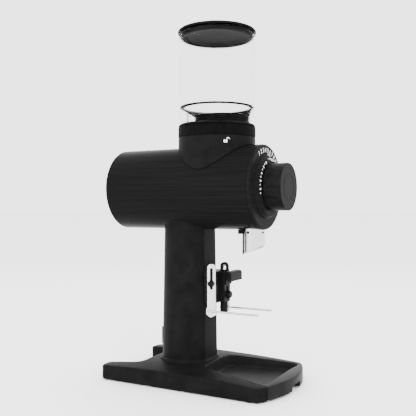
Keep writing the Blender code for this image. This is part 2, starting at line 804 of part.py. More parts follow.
def add_knocker():
    """A thin rod behind the spout that swings back on a pin to tap the last grounds loose."""
    y, top = -KNOCKER_FORWARD, 201.6 * MM
    low, high = (-4.4 * MM, y - 2.2 * MM, 199 * MM), (4.4 * MM, y + 6 * MM, 215 * MM)
    bracket = block("knocker_bracket", low, high, "black_plastic")
    cut(bracket, barrel_cutter("bracket_saddle", BARREL_RADIUS + GAP))
    cut(bracket, block("bracket_slot", (-1.9 * MM, -0.1, 190 * MM), (1.9 * MM, 0.1, 204 * MM), None))
    join(bracket, rod("knocker_pin", (-4.2 * MM, y, top), (4.2 * MM, y, top), 0.7 * MM, None, 12))
    knocker = rod("spout_knocker", (0, 0, -29.5 * MM), (0, 0, -1.4 * MM), 1.15 * MM, "black_paint", 12)
    join(knocker, rod("knocker_eye", (-1.4 * MM, 0, 0), (1.4 * MM, 0, 0), 1.9 * MM, None, 16))
    cut(knocker, rod("knocker_hole", (-5 * MM, 0, 0), (5 * MM, 0, 0), 1 * MM, None, 12))
    for piece in (knocker, bpy.data.objects["knocker_eye"], bpy.data.objects["knocker_hole"]):
        piece.location = (0, y, top)


def add_dial():
    """Front plate, adjusting knob and the screw that moves the burr holder."""
    plate = [
        (38.6 * MM, BOSS_FRONT - 0.8 * MM),
        (38.6 * MM, PLATE_FRONT),
        (PLATE_RADIUS - 2 * MM, PLATE_FRONT),
        (PLATE_RADIUS, PLATE_FRONT - 2 * MM),
        (PLATE_RADIUS, BARREL_FRONT + GAP),
        (13 * MM, BARREL_FRONT + GAP),
        (13 * MM, 90 * MM),
        (6.2 * MM, 90 * MM),
        (6.2 * MM, BOSS_FRONT),
        (34.6 * MM, BOSS_FRONT),
    ]
    lay_forward(turned("dial_plate", plate, "black_anodised", steps=24))
    knob = [
        (0, KNOB_FRONT),
        (KNOB_RADIUS - 0.8 * MM, KNOB_FRONT),
        (KNOB_RADIUS, KNOB_FRONT - 0.8 * MM),
        (KNOB_RADIUS, BOSS_FRONT + 0.4 * MM),
        (KNOB_RADIUS - 3.5 * MM, BOSS_FRONT + 0.4 * MM),
        (KNOB_RADIUS - 3.5 * MM, KNOB_FRONT - 6 * MM),
        (9 * MM, KNOB_FRONT - 6 * MM),
        (9 * MM, BOSS_FRONT + 0.4 * MM),
        (SHAFT_HOLE, BOSS_FRONT + 0.4 * MM),
        (SHAFT_HOLE, KNOB_FRONT - 1.8 * MM),
        (0, KNOB_FRONT - 1.8 * MM),
    ]
    lay_forward(turned("adjusting_knob", knob, "black_anodised", False, 36))
    spindle = [
        (0, KNOB_FRONT - 2.2 * MM),
        (SHAFT_RADIUS, KNOB_FRONT - 2.2 * MM),
        (SHAFT_RADIUS, 89.6 * MM),
        (12 * MM, 89.6 * MM),
        (12 * MM, 86 * MM),
        (7.9 * MM, 86 * MM),
        (7.9 * MM, 79.4 * MM),
        (0, 79.4 * MM),
    ]
    lay_forward(turned("adjusting_spindle", spindle, "brass", False, 20))


def add_spring():
    """Spring that pushes the burr holder away from the front plate and takes up the play."""
    sections = []
    turns, steps, radius, wire = 1.4, 20, 24 * MM, 0.4 * MM
    count = int(turns * steps)
    for i in range(count + 1):
        angle = 2 * math.pi * i / steps
        across = Vector((math.cos(angle), math.sin(angle), 0))
        centre = across * radius + Vector((0, 0, (81.6 + 1.4 * i / count) * MM))
        ring = []
        for side in range(6):
            turn = 2 * math.pi * side / 6
            ring.append(centre + across * wire * math.cos(turn) + Vector((0, 0, wire * math.sin(turn))))
        sections.append(ring)
    lay_forward(loft("preload_spring", sections, "steel"))


# ---------------------------------------------------------------- hopper


def upright(obj, forward=HOPPER_FORWARD):
    obj.location = (0, -forward, 0)
    return obj


def add_collar():
    """Round collar that grows out of the barrel and carries the lock ring."""
    collar = disc("hopper_collar", COLLAR_RADIUS, COLLAR_TOP, 262 * MM, "black_paint", 32)
    upright(collar)
    cut(collar, barrel_cutter("collar_saddle", BARREL_RADIUS + GAP))
    well = turned(
        "collar_well",
        [(0, 0.4), (44 * MM, 0.4), (44 * MM, 325.6 * MM), (22 * MM, 325.6 * MM), (22 * MM, 0.2), (0, 0.2)],
        None,
        False,
        32,
    )
    cut(collar, upright(well))


def add_lock_ring():
    """Knurled ring that locks the hopper; its outside is fluted."""
    low = COLLAR_TOP + GAP
    ring = turned(
        "lock_ring",
        [
            (RING_RADIUS - 1.4 * MM, RING_TOP),
            (RING_RADIUS, RING_TOP - 1.4 * MM),
            (RING_RADIUS, low),
            (44.6 * MM, low),
            (44.6 * MM, RING_TOP),
        ],
        "black_paint",
        steps=32,
    )
    upright(ring)


def add_hopper():
    """Clear cylinder with a neck that drops through the lock ring."""
    low = RING_TOP + GAP
    hopper = turned(
        "hopper",
        [
            (RING_RADIUS - 0.1 * MM, HOPPER_TOP),
            (RING_RADIUS - 0.1 * MM, low),
            (43.6 * MM, low),
            (43.6 * MM, 326 * MM),
            (41 * MM, 326 * MM),
            (41 * MM, low + 2.6 * MM),
            (HOPPER_BORE, low + 2.6 * MM),
            (HOPPER_BORE, HOPPER_TOP),
        ],
        "clear_plastic",
        steps=32,
    )
    upright(hopper)


def ring_points(radius, height, shift=0.0, steps=24):
    points = []
    for i in range(steps):
        angle = 2 * math.pi * i / steps
        points.append((radius * math.cos(angle), radius * math.sin(angle) - shift, height))
    return points


def add_funnel():
    """Off-centre funnel in the hopper: a dark body whose near half is a clear window."""
    wall = 1.6 * MM
    neck_low = RING_TOP + 3.2 * MM
    for name, finish in (("funnel", "black_plastic"), ("funnel_window", "clear_plastic")):
        cone = loft(
            name,
            [
                ring_points(NECK_RADIUS, neck_low, NECK_SHIFT),
                ring_points(NECK_RADIUS, NECK_TOP, NECK_SHIFT),
                ring_points(FUNNEL_MOUTH + wall, FUNNEL_TOP - 1.5 * MM),
                ring_points(49.9 * MM, FUNNEL_TOP - 1.5 * MM),
                ring_points(49.9 * MM, FUNNEL_TOP),
                ring_points(FUNNEL_MOUTH, FUNNEL_TOP),
                ring_points(NECK_RADIUS - wall, NECK_TOP + 0.8 * MM, NECK_SHIFT),
                ring_points(NECK_RADIUS - wall, neck_low, NECK_SHIFT),
            ],
            finish,
            closed=True,
        )
        upright(cone)
        turn = Matrix.Translation((0, -HOPPER_FORWARD, 0)) @ Matrix.Rotation(WINDOW_TURN, 4, "Z")
        inset = 0 if name == "funnel" else GAP
        low = (-0.1, -0.1, NECK_TOP + 1 * MM + inset)
        high = (-inset, 0.1, FUNNEL_TOP - 1.8 * MM - inset)
        window = block(f"{name}_part", low, high, None)
        window.matrix_world = turn
        boolean(cone, window, "DIFFERENCE" if name == "funnel" else "INTERSECT")


def add_lid():
    """Lid with a dished plug, and the seal round the plug."""
    lid = turned(
        "lid",
        [
            (0, LID_TOP + 0.6 * MM),
            (40 * MM, LID_TOP + 0.3 * MM),
            (LID_RADIUS - 1.6 * MM, LID_TOP - 0.2 * MM),
            (LID_RADIUS, LID_TOP - 1.8 * MM),
            (LID_RADIUS, HOPPER_TOP + GAP),
            (46.5 * MM, HOPPER_TOP + GAP),
            (46.5 * MM, 463.7 * MM),
            (44.5 * MM, 463.7 * MM),
            (38 * MM, 467.2 * MM),
            (0, 468.8 * MM),
        ],
        "black_plastic",
        False,
        32,
    )
    upright(lid)
    seal = [
        (49.9 * MM, 469.7 * MM),
        (49.9 * MM, 465 * MM),
        (49 * MM, 463.8 * MM),
        (46.8 * MM, 463.8 * MM),
        (46.8 * MM, 469.7 * MM),
    ]
    upright(turned("lid_seal", seal, "rubber", steps=32))


# ---------------------------------------------------------------- portafilter fork


def add_fork_block():
    """Block on the flat of the column, with a channel in front for the hook slider."""
    half, low, high = FORK_BLOCK_HALF, FORK_BLOCK_LOW, FORK_BLOCK_HIGH
    body = block("fork_block", (-half, -24.7 * MM, low), (half, -6.3 * MM, high), "black_plastic")
    channel = SLIDER_HALF + GAP
    cut(body, block("slider_channel", (-channel, -0.1, 0.05), (channel, -20.5 * MM, 0.2), None))
    start, end = (0, -0.05, THUMB_HEIGHT), (0, -11 * MM, THUMB_HEIGHT)
    cut(body, rod("thumb_hole", start, end, 2.2 * MM, None, 14))
    for side, sign in (("left", -1), ("right", 1)):
        start = (sign * 9.6 * MM, -FORK_PLATE_FORWARD, FORK_BOLT_HEIGHT)
        end = (sign * 30 * MM, -FORK_PLATE_FORWARD, FORK_BOLT_HEIGHT)
        cut(body, rod(f"fork_bolt_hole_{side}", start, end, 2.1 * MM, None, 14))


def fork_plate_outline():
    """Side view of a fork plate: rounded top, straight sides and a wider foot."""
    middle, half = FORK_PLATE_FORWARD, 6.2 * MM
    corners = [
        (middle - half, 158.9 * MM, 5.8 * MM),
        (middle + half, 158.9 * MM, 5.8 * MM),
        (middle + half, 101 * MM, 0),
        (middle + 6.6 * MM, 99 * MM, 0),
        (middle + 6.6 * MM, 91.5 * MM, 1.5 * MM),
        (middle - 1.5 * MM, 87.2 * MM, 2 * MM),
        (middle - 7.7 * MM, 92 * MM, 2 * MM),
        (middle - 7.7 * MM, 99 * MM, 0),
        (middle - half, 101 * MM, 0),
    ]
    return rounded(corners, 4)


def add_fork_arms():
    """Two side plates with prongs; each slides up and down on a bolt through its slot."""
    middle = FORK_PLATE_FORWARD
    ends = [(middle - 2.15 * MM, 124.8 * MM), (middle + 2.15 * MM, 124.8 * MM)]
    ends += [(middle + 2.15 * MM, 153.5 * MM), (middle - 2.15 * MM, 153.5 * MM)]
    slot = rounded([(along, up, 2 * MM) for along, up in ends], 3)
    for side, sign in (("left", -1), ("right", 1)):
        start = FORK_PLATE_IN if sign > 0 else -FORK_PLATE_OUT
        place = Matrix.Translation((start, 0, 0)) @ SIDEWAYS
        arm = slab(f"fork_arm_{side}", fork_plate_outline(), FORK_PLATE_OUT - FORK_PLATE_IN, "steel", place)
        through = Matrix.Translation((start - 0.01, 0, 0)) @ SIDEWAYS
        cut(arm, slab(f"fork_slot_{side}", slot, 0.02, None, through))
        x = sign * (FORK_PLATE_OUT + ROD_RADIUS - 0.4 * MM)
        root, tip = (x, -12.5 * MM, ROD_HEIGHT), (x, -ROD_TIP, ROD_HEIGHT)
        join(arm, rod(f"prong_{side}", root, tip, ROD_RADIUS, None, 12))
        base = Vector((0, -middle, FORK_BOLT_HEIGHT))
        out = Vector((sign, 0, 0))
        root, tip = base + out * 10 * MM, base + out * 22 * MM
        bolt = rod(f"fork_bolt_{side}", root, tip, 1.7 * MM, "black_paint", 14)
        root, tip = base + out * 21.7 * MM, base + out * 25.6 * MM
        join(bolt, rod(f"fork_bolt_head_{side}", root, tip, 4.4 * MM, None, 6))
        pivot(bolt, base + out * 23.6 * MM)


def add_hook():
    """Slider with the hinged hook bar, its pin, the pull loop, the stem and the thumb knob."""
    half, rear, front = SLIDER_HALF, SLIDER_REAR, SLIDER_FRONT
    low = FORK_BLOCK_LOW
    slider = block("hook_slider", (-half, -front, low), (half, -rear, SLIDER_TOP), "black_plastic")
    low, high = (-half + GAP, -34 * MM, 131 * MM), (half - GAP, -rear - GAP, 136 * MM)
    join(slider, block("slider_ledge", low, high, None))
    lug_half = 3 * MM
    lug = [
        (front - 2 * MM, HOOK_HEIGHT - 3 * MM, 0),
        (HOOK_FORWARD + 3 * MM, HOOK_HEIGHT - 3 * MM, 2.9 * MM),
        (HOOK_FORWARD + 3 * MM, HOOK_HEIGHT + 3 * MM, 2.9 * MM),
        (front - 2 * MM, HOOK_HEIGHT + 3 * MM, 0),
    ]
    place = Matrix.Translation((-lug_half, 0, 0)) @ SIDEWAYS
    join(slider, slab("slider_lug", rounded(lug, 4), 2 * lug_half, None, place))
    centre = Vector((0, -HOOK_FORWARD, HOOK_HEIGHT))
    wide = Vector((1, 0, 0))
    cut(slider, rod("lug_hole", centre - wide * 0.02, centre + wide * 0.02, 1.8 * MM, None, 12))
    cut(slider, block("slider_slot", (-2.2 * MM, -0.1, 111 * MM), (2.2 * MM, 0.1, 128 * MM), None))
    rod("hook_pin", centre - wide * 13 * MM, centre + wide * 13 * MM, 1.5 * MM, "dark_steel", 12)
    outline = [(HOOK_FORWARD, HOOK_HEIGHT + 5.5 * MM)]
    for i in range(1, 9):
        angle = math.pi * i / 8
        along, up = 5.5 * MM * math.sin(angle), 5.5 * MM * math.cos(angle)
        outline.append((HOOK_FORWARD - along, HOOK_HEIGHT + up))
    outline += [(40 * MM, 138.5 * MM), (40.6 * MM, 136.5 * MM), (45.5 * MM, 136.5 * MM)]
    outline += [(45.5 * MM, 146.5 * MM), (44.4 * MM, 148.8 * MM), (42.4 * MM, 149.5 * MM)]
    width = 16.8 * MM
    place = Matrix.Translation((-width, 0, 0)) @ SIDEWAYS
    bar = slab("hook_bar", outline, 2 * width, "black_plastic", place)
    slot = lug_half + 0.4 * MM
    cut(bar, block("bar_slot", (-slot, -41.5 * MM, 0.1), (slot, -0.02, 0.2), None))
    cut(bar, rod("bar_bore", centre - wide * 13.5 * MM, centre + wide * 13.5 * MM, 1.8 * MM, None, 12))
    pivot(bar, centre)
    middle, reach, top = 26.9 * MM, 5.7 * MM, 160.6 * MM
    low = SLIDER_TOP + GAP
    loop = [(middle - reach, top, 5.4 * MM), (middle + reach, top, 5.4 * MM), (middle + reach, low, 0)]
    loop.append((middle - reach, low, 0))
    place = Matrix.Translation((-1.45 * MM, 0, 0)) @ SIDEWAYS
    eye = slab("pull_loop", rounded(loop, 5), 2.9 * MM, "black_paint", place)
    ends = ((-1, 149.6), (1, 149.6), (1, 157.8), (-1, 157.8))
    hole = [(middle + x * 2.9 * MM, z * MM, 2.7 * MM) for x, z in ends]
    cut(eye, slab("loop_hole", rounded(hole, 3), 0.02, None, Matrix.Translation((-0.01, 0, 0)) @ SIDEWAYS))
    stem = [(0, 107), (5, 107), (5, 100.8), (5.6, 100.4), (5.6, 99.2)]
    stem += [(5, 98.8), (5, 93.2), (4.2, 92.3), (0, 92.3)]
    stem = turned("hook_stem", [(r * MM, z * MM) for r, z in stem], "rubber", False, 16)
    stem.location = (0, -26.2 * MM, 0)
    at = Vector((0, 0, THUMB_HEIGHT))
    back = Vector((0, -1, 0))
    thumb = rod("thumb_knob", at + back * 12 * MM, at + back * 33 * MM, 1.8 * MM, "black_plastic", 14)
    join(thumb, rod("thumb_head", at + back * 31.8 * MM, at + back * 37 * MM, 4.8 * MM, None, 20))
    pivot(thumb, at + back * 34 * MM)


def main():
    clear_scene()
    crown = add_crown()
    add_base(crown)
    add_tray(crown)
    add_feet()
    add_column()
    add_column_bolt()
    add_power_entry()
    add_electrics()
    add_housing()
    add_rear_cap()
    add_motor()
    add_auger()
    add_grinding_set()
    add_chamber()
    add_spout()
    add_knocker()
    add_dial()
    add_spring()
    add_collar()
    add_lock_ring()
    add_hopper()
    add_funnel()
    add_lid()
    add_fork_block()
    add_fork_arms()
    add_hook()


main()
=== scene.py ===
"""Looks of the burr coffee grinder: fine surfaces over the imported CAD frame, floor, light and camera."""
import math

import bmesh
import bpy
from mathutils import Matrix, Vector
from mathutils.geometry import delaunay_2d_cdt, intersect_point_line


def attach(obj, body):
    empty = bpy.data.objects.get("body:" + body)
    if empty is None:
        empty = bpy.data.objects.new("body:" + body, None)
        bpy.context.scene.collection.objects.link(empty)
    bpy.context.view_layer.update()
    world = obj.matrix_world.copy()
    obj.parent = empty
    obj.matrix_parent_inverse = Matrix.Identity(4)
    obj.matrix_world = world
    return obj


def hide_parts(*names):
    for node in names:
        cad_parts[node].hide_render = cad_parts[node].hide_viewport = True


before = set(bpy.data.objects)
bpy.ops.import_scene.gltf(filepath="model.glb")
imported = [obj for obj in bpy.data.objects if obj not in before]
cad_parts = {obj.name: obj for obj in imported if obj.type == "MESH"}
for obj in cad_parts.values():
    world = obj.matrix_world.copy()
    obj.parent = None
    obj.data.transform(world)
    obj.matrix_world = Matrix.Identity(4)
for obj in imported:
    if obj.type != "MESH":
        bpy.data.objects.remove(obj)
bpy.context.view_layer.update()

# Lengths are written in mm, and MM turns them into Blender's metres.
MM = 0.001
SCENE = bpy.context.scene.collection
AXIS = 260.8  # height of the barrel's axis
COL, HOP, SPOUT = 26.6, -15.6, -71.5  # places along Y of the column's, the hopper's and the spout's axes
HALF_X = 74.5 * MM  # half the base's width
HALF_Y = 130.2  # half the object's depth
REACH = 0.2  # metres: a cutter that runs past the object on both sides
BARREL_CUT = 56.1  # radius that clears the barrel
SHARP = 35  # degrees: edges sharper than this aren't smoothed
RIGHT = Vector((0.4714, -0.8819, 0))  # camera's right
LOOK = Vector((0.8819, 0.4714, 0))  # camera's direction
VIEW_TURN = math.radians(28.1)  # from +X to the camera's direction


# ------------------------------------------------------------ materials


def material(name, colour, rough, metal=0.0, scale=(1, 1, 1), noise=300, vary=0.25, rough_vary=0.08,
             bump=0.05, grain=2500, fine=(1, 1, 1), **sockets):
    """A Principled material with a mottled colour and roughness (noise, stretched by scale) and a fine
    bump (grain, stretched by fine)."""
    made = bpy.data.materials.new(name)
    made.use_nodes = True
    nodes, links = made.node_tree.nodes, made.node_tree.links
    shader = nodes["Principled BSDF"]
    place = nodes.new("ShaderNodeTexCoord")

    def noise_node(size, stretch, detail):
        mapping = nodes.new("ShaderNodeMapping")
        mapping.inputs["Scale"].default_value = stretch
        links.new(place.outputs["Object"], mapping.inputs["Vector"])
        found = nodes.new("ShaderNodeTexNoise")
        found.inputs["Scale"].default_value = size
        found.inputs["Detail"].default_value = detail
        links.new(mapping.outputs["Vector"], found.inputs["Vector"])
        return found.outputs["Fac"]

    soft = noise_node(noise, scale, 3)
    ramp = nodes.new("ShaderNodeValToRGB")
    ramp.color_ramp.elements[0].position = 0.3
    ramp.color_ramp.elements[1].position = 0.7
    ramp.color_ramp.elements[0].color = (*[c * (1 - vary) for c in colour], 1)
    ramp.color_ramp.elements[1].color = (*[min(1, c * (1 + vary)) for c in colour], 1)
    links.new(soft, ramp.inputs["Fac"])
    links.new(ramp.outputs["Color"], shader.inputs["Base Color"])
    roughness = nodes.new("ShaderNodeMapRange")
    roughness.inputs["To Min"].default_value = max(0, rough - rough_vary)
    roughness.inputs["To Max"].default_value = min(1, rough + rough_vary)
    links.new(soft, roughness.inputs["Value"])
    links.new(roughness.outputs["Result"], shader.inputs["Roughness"])
    lift = nodes.new("ShaderNodeBump")
    lift.inputs["Strength"].default_value = bump
    lift.inputs["Distance"].default_value = 0.0004
    links.new(noise_node(grain, fine, 4), lift.inputs["Height"])
    links.new(lift.outputs["Normal"], shader.inputs["Normal"])
    shader.inputs["Metallic"].default_value = metal
    for key, value in sockets.items():
        shader.inputs[key.replace("_", " ")].default_value = value
    return made


PAINT = material("powder_black", (0.0055, 0.0055, 0.0057), 0.46, noise=60, bump=0.25, grain=1500,
                 Specular_IOR_Level=0.014)
TRAY = material("tray_black", (0.01, 0.01, 0.0103), 0.36, noise=60, bump=0.2, grain=1500,
                Specular_IOR_Level=0.022)
BARREL = material("barrel_black", (0.0056, 0.0056, 0.0058), 0.26, scale=(1, 0.008, 1), noise=1100,
                  vary=0.27, bump=0.16, grain=1300, fine=(1, 0.008, 1), Specular_IOR_Level=0.006)
ANODISED = material("anodised_black", (0.0062, 0.0062, 0.0065), 0.34, scale=(1, 0.4, 1), noise=240,
                    bump=0.12, grain=1900, Specular_IOR_Level=0.009)
RING = material("ring_black", (0.0028, 0.0028, 0.0028), 0.45, noise=200, bump=0.1,
                Specular_IOR_Level=0.012)
PLASTIC = material("moulded_black", (0.005, 0.005, 0.005), 0.42, noise=160, bump=0.22, grain=2200,
                   Specular_IOR_Level=0.03)
LID = material("lid_black", (0.005, 0.005, 0.0052), 0.42, noise=90, bump=0.1, grain=2200,
               Specular_IOR_Level=0.01)
RUBBER = material("rubber_black", (0.004, 0.004, 0.004), 0.8, noise=220, bump=0.3, grain=1600,
                  Specular_IOR_Level=0.1)
STEEL = material("brushed_steel", (0.62, 0.62, 0.63), 0.3, 1.0, scale=(1, 1, 0.03), noise=500, vary=0.06,
                 grain=1200, fine=(1, 1, 0.02))
ROD = material("polished_steel", (0.5, 0.5, 0.51), 0.2, 1.0, scale=(1, 0.05, 1), noise=500, vary=0.06,
               bump=0.04)
DARK = material("dark_steel", (0.03, 0.03, 0.032), 0.38, 1.0, bump=0.1)
ALLOY = material("machined_alloy", (0.5, 0.51, 0.52), 0.36, 1.0, scale=(1, 0.2, 1), noise=500, vary=0.1,
                 bump=0.1)
COPPER = material("copper_winding", (0.45, 0.2, 0.09), 0.42, 1.0, scale=(1, 0.02, 1), noise=700, vary=0.4,
                  bump=0.5, grain=900, fine=(1, 0.02, 1))
BRASS = material("turned_brass", (0.6, 0.42, 0.16), 0.3, 1.0, scale=(1, 3, 1), noise=700, vary=0.1, bump=0.1)
BOARD = material("board_green", (0.02, 0.1, 0.04), 0.45, noise=500, vary=0.4, bump=0.3)
PRINT = material("printed_white", (0.75, 0.75, 0.74), 0.5, noise=500, vary=0.06)
GREY_PRINT = material("printed_grey", (0.35, 0.35, 0.35), 0.45, noise=500, vary=0.08)
CLEAR = material("clear_polymer", (0.84, 0.845, 0.845), 0.01, noise=40, vary=0.004, rough_vary=0.01,
                 bump=0.0, grain=30, Transmission_Weight=1.0, IOR=1.03, Alpha=0.2)
WINDOW = material("clear_window", (0.985, 0.99, 0.99), 0.0, noise=40, vary=0.004, rough_vary=0.01,
                  bump=0.0, grain=30, Transmission_Weight=1.0, IOR=1.012, Alpha=0.15)


# ------------------------------------------------------------ shapes


def mm(points):
    """Points in mm, with any fillets, in metres."""
    return [tuple(v * MM for v in p) for p in points]


def rounded(corners, steps=6):
    """Points of an outline whose corners (x, y, radius) are rounded."""
    points = []
    for i, (x, y, radius) in enumerate(corners):
        here = Vector((x, y))
        if not radius:
            points.append(here)
            continue
        to_last = (Vector(corners[i - 1][:2]) - here).normalized()
        to_next = (Vector(corners[(i + 1) % len(corners)][:2]) - here).normalized()
        half = to_last.angle(to_next) / 2
        centre = here + (to_last + to_next).normalized() * (radius / math.sin(half))
        first = here + to_last * (radius / math.tan(half)) - centre
        turned = first.angle_signed(here + to_next * (radius / math.tan(half)) - centre)
        for step in range(steps + 1):
            points.append(centre + Matrix.Rotation(-turned * step / steps, 2) @ first)
    return points


def turn(corners, steps=4):
    """A profile in mm, (r, z) or (r, z, fillet), in metres with its corners rounded."""
    return [tuple(p) for p in rounded(mm((*corner, 0)[:3] for corner in corners), steps)]


def new_object(name, bm, angle=SHARP, place=Matrix()):
    """A mesh object in the scene, smooth but for edges sharper than an angle in degrees."""
    bmesh.ops.transform(bm, matrix=place, verts=bm.verts)
    bmesh.ops.recalc_face_normals(bm, faces=bm.faces)
    mesh = bpy.data.meshes.new(name)
    bm.to_mesh(mesh)
    bm.free()
    mesh.shade_smooth()
    mesh.set_sharp_from_angle(angle=math.radians(angle))
    obj = bpy.data.objects.new(name, mesh)
    SCENE.objects.link(obj)
    return obj


def piece(name, bm, look, body, nodes=(), angle=SHARP, place=Matrix()):
    """A mesh object with its material that rides on a body and may stand for CAD nodes."""
    obj = new_object(name, bm, angle, place)
    obj.data.materials.append(look)
    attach(obj, body)
    if nodes:
        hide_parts(*nodes)
    return obj


def add_rows(bm, rings):
    return [[bm.verts.new(point) for point in ring] for ring in rings]


def join_rows(bm, rows):
    """Quads between neighbouring rows of vertices, each row closed on itself."""
    for one, two in zip(rows, rows[1:]):
        for i in range(len(one)):
            j = (i + 1) % len(one)
            bm.faces.new((one[i], one[j], two[j], two[i]))


def skin(rings, closed=False):
    """A skin over rings of equal point count; closed joins the last ring to the first."""
    bm = bmesh.new()
    rows = add_rows(bm, rings)
    join_rows(bm, rows + rows[:1] if closed else rows)
    if not closed:
        bm.faces.new(rows[0])
        bm.faces.new(rows[-1])
    return bm


def lathe(profile, steps=112, wave=None):
    """A turned shape about local Z. A profile that starts and ends on the axis is solid, any other is a
    ring. wave(k, i) is added to the radius of the ring's profile point k at step i."""
    solid = profile[0][0] < 1e-7
    rings = []
    for k, (r, z) in enumerate(profile[1:-1] if solid else profile):
        ring = []
        for i in range(steps):
            angle = 2 * math.pi * i / steps
            out = r + (wave(k, i) if wave else 0)
            ring.append((out * math.cos(angle), out * math.sin(angle), z))
        rings.append(ring)
    if not solid:
        return skin(rings, True)
    bm = bmesh.new()
    rows = add_rows(bm, rings)
    join_rows(bm, rows)
    for row, z in ((rows[0], profile[0][1]), (rows[-1], profile[-1][1])):
        pole = bm.verts.new((0, 0, z))
        for i in range(steps):
            bm.faces.new((row[i], row[(i + 1) % steps], pole))
    return bm


def prism(outline, low, high):
    """An outline in the local plane, pulled from z low to z high."""
    return skin([[(x, y, z) for x, y in outline] for z in (low, high)])


def upright(y):
    """Local +Z upright, at a place along Y."""
    return Matrix.Translation((0, y * MM, 0))


def laid(x, y, z, axis, sign=1):
    """Local +Z turned a quarter about X or Y, at a place."""
    return Matrix.Translation((x * MM, y * MM, z * MM)) @ Matrix.Rotation(sign * math.pi / 2, 4, axis)


def forward(y=0):
    """Local +Z laid forward on the barrel's axis."""
    return laid(0, y, AXIS, "X")


SIDEWAYS = Matrix(((0, 0, 1, 0), (-1, 0, 0, 0), (0, 1, 0, 0), (0, 0, 0, 1)))  # local x forward, y up, z to +X
HOPPER = upright(HOP)


def drop(*objs):
    for obj in objs:
        bpy.data.objects.remove(obj, do_unlink=True)


def evaluated(obj):
    """A new mesh of the object as Blender evaluates it."""
    bpy.context.view_layer.update()
    return bpy.data.meshes.new_from_object(obj.evaluated_get(bpy.context.evaluated_depsgraph_get()))


def carve(obj, *cutters, operation="DIFFERENCE"):
    """Applies exact Booleans and removes the cutters, so that nothing but the result is left."""
    for tool in cutters:
        change = obj.modifiers.new("cut", "BOOLEAN")
        change.operation = operation
        change.solver = "EXACT"
        change.object = tool
    made = evaluated(obj)
    obj.modifiers.clear()
    old, obj.data = obj.data, made
    made.name = old.name
    made.shade_smooth()
    made.set_sharp_from_angle(angle=math.radians(SHARP))
    drop(*cutters)


def cutter(bm, place=Matrix()):
    return new_object("cutter", bm, place=place)


def cylinder(radius, low, high, place, steps):
    """A round cutter from local z low to high, all in metres."""
    return cutter(lathe([(0, high), (radius, high), (radius, low), (0, low)], steps), place)


def barrel_cutter(radius=BARREL_CUT, steps=160):
    """A round cutter along the barrel's axis."""
    return cylinder(radius * MM, -REACH, REACH, forward(), steps)


def cube(low, high, place=Matrix()):
    """A box cutter between two corners in mm."""
    bm = bmesh.new()
    low, high = Vector(low) * MM, Vector(high) * MM
    bmesh.ops.create_cube(bm, size=1)
    bmesh.ops.scale(bm, vec=high - low, verts=bm.verts)
    bmesh.ops.translate(bm, vec=(high + low) / 2, verts=bm.verts)
    return cutter(bm, place)


def bevel(obj, width, segments, angle=30):
    """Rounds the edges sharper than an angle in degrees."""
    edge = obj.modifiers.new("edge", "BEVEL")
    edge.width = width * MM
    edge.segments = segments
    edge.limit_method = "ANGLE"
    edge.angle_limit = math.radians(angle)


# ------------------------------------------------------------ base and tray


CROWN, SHOULDER = 28, 22.2  # heights of the base's middle and edge, beside the column's axis
BEHIND = (98, 8, 2.5)  # length of the base behind that axis, and how far its middle and edge fall there
AHEAD = (142, 7, 4.8)  # the same in front of the axis
BOW = 137.6  # radius of the bowed front
TRAY_HALF, TRAY_REAR, TRAY_FLARE = 39.5, -13.9, 0.218  # half width at the rear edge, that edge, widening
BAY_REAR = -13.6  # rear edge of the bay that takes the tray
FINE = 0.55  # rounding of the top edges along the gap between tray and base


def crown(x, y):
    """Height of the crowned top of the base. Arguments and result are in metres."""
    away = y / MM - COL
    length, middle_fall, edge_fall = BEHIND if away > 0 else AHEAD
    part = abs(away) / length
    middle, edge = CROWN - middle_fall * part**1.6, SHOULDER - edge_fall * part**2
    across = max(0, 1 - (abs(x) / HALF_X) ** 2.2)
    return (edge + (middle - edge) * across) * MM


def dense(points, gap=3.5 * MM):
    """The same outline with points no further apart than a gap."""
    out = []
    for i, here in enumerate(points):
        there = points[(i + 1) % len(points)]
        count = max(1, math.ceil((there - here).length / gap))
        out += [here.lerp(there, k / count) for k in range(count)]
    return out


def inset(loop, amounts):
    """The outline (anticlockwise) moved inwards at each point; negative amounts move it out."""
    moved = []
    for i, here in enumerate(loop):
        a = (here - loop[i - 1]).normalized()
        b = (loop[(i + 1) % len(loop)] - here).normalized()
        normal = (Vector((-a.y, a.x)) + Vector((-b.y, b.x))).normalized()
        moved.append(here + normal * amounts[i])
    return moved


def anticlockwise(loop):
    area = sum(a.x * b.y - b.x * a.y for a, b in zip(loop, loop[1:] + loop[:1]))
    return loop if area > 0 else loop[::-1]


def inside(point, loop):
    """Whether a point is inside an outline: its edges to the right of the point are an odd number."""
    found = False
    for i, a in enumerate(loop):
        b = loop[i - 1]
        if (a.y > point.y) == (b.y > point.y):
            continue
        if point.x < (b.x - a.x) * (point.y - a.y) / (b.y - a.y) + a.x:
            found = not found
    return found


def near(point, loop, gap):
    """Whether a point is closer to an outline than a gap."""
    for i, end in enumerate(loop):
        start = loop[i - 1]
        spot, part = intersect_point_line(point, start, end)
        closest = end if part > 1 else start if part < 0 else spot.to_2d()
        if (closest - point).length < gap:
            return True
    return False


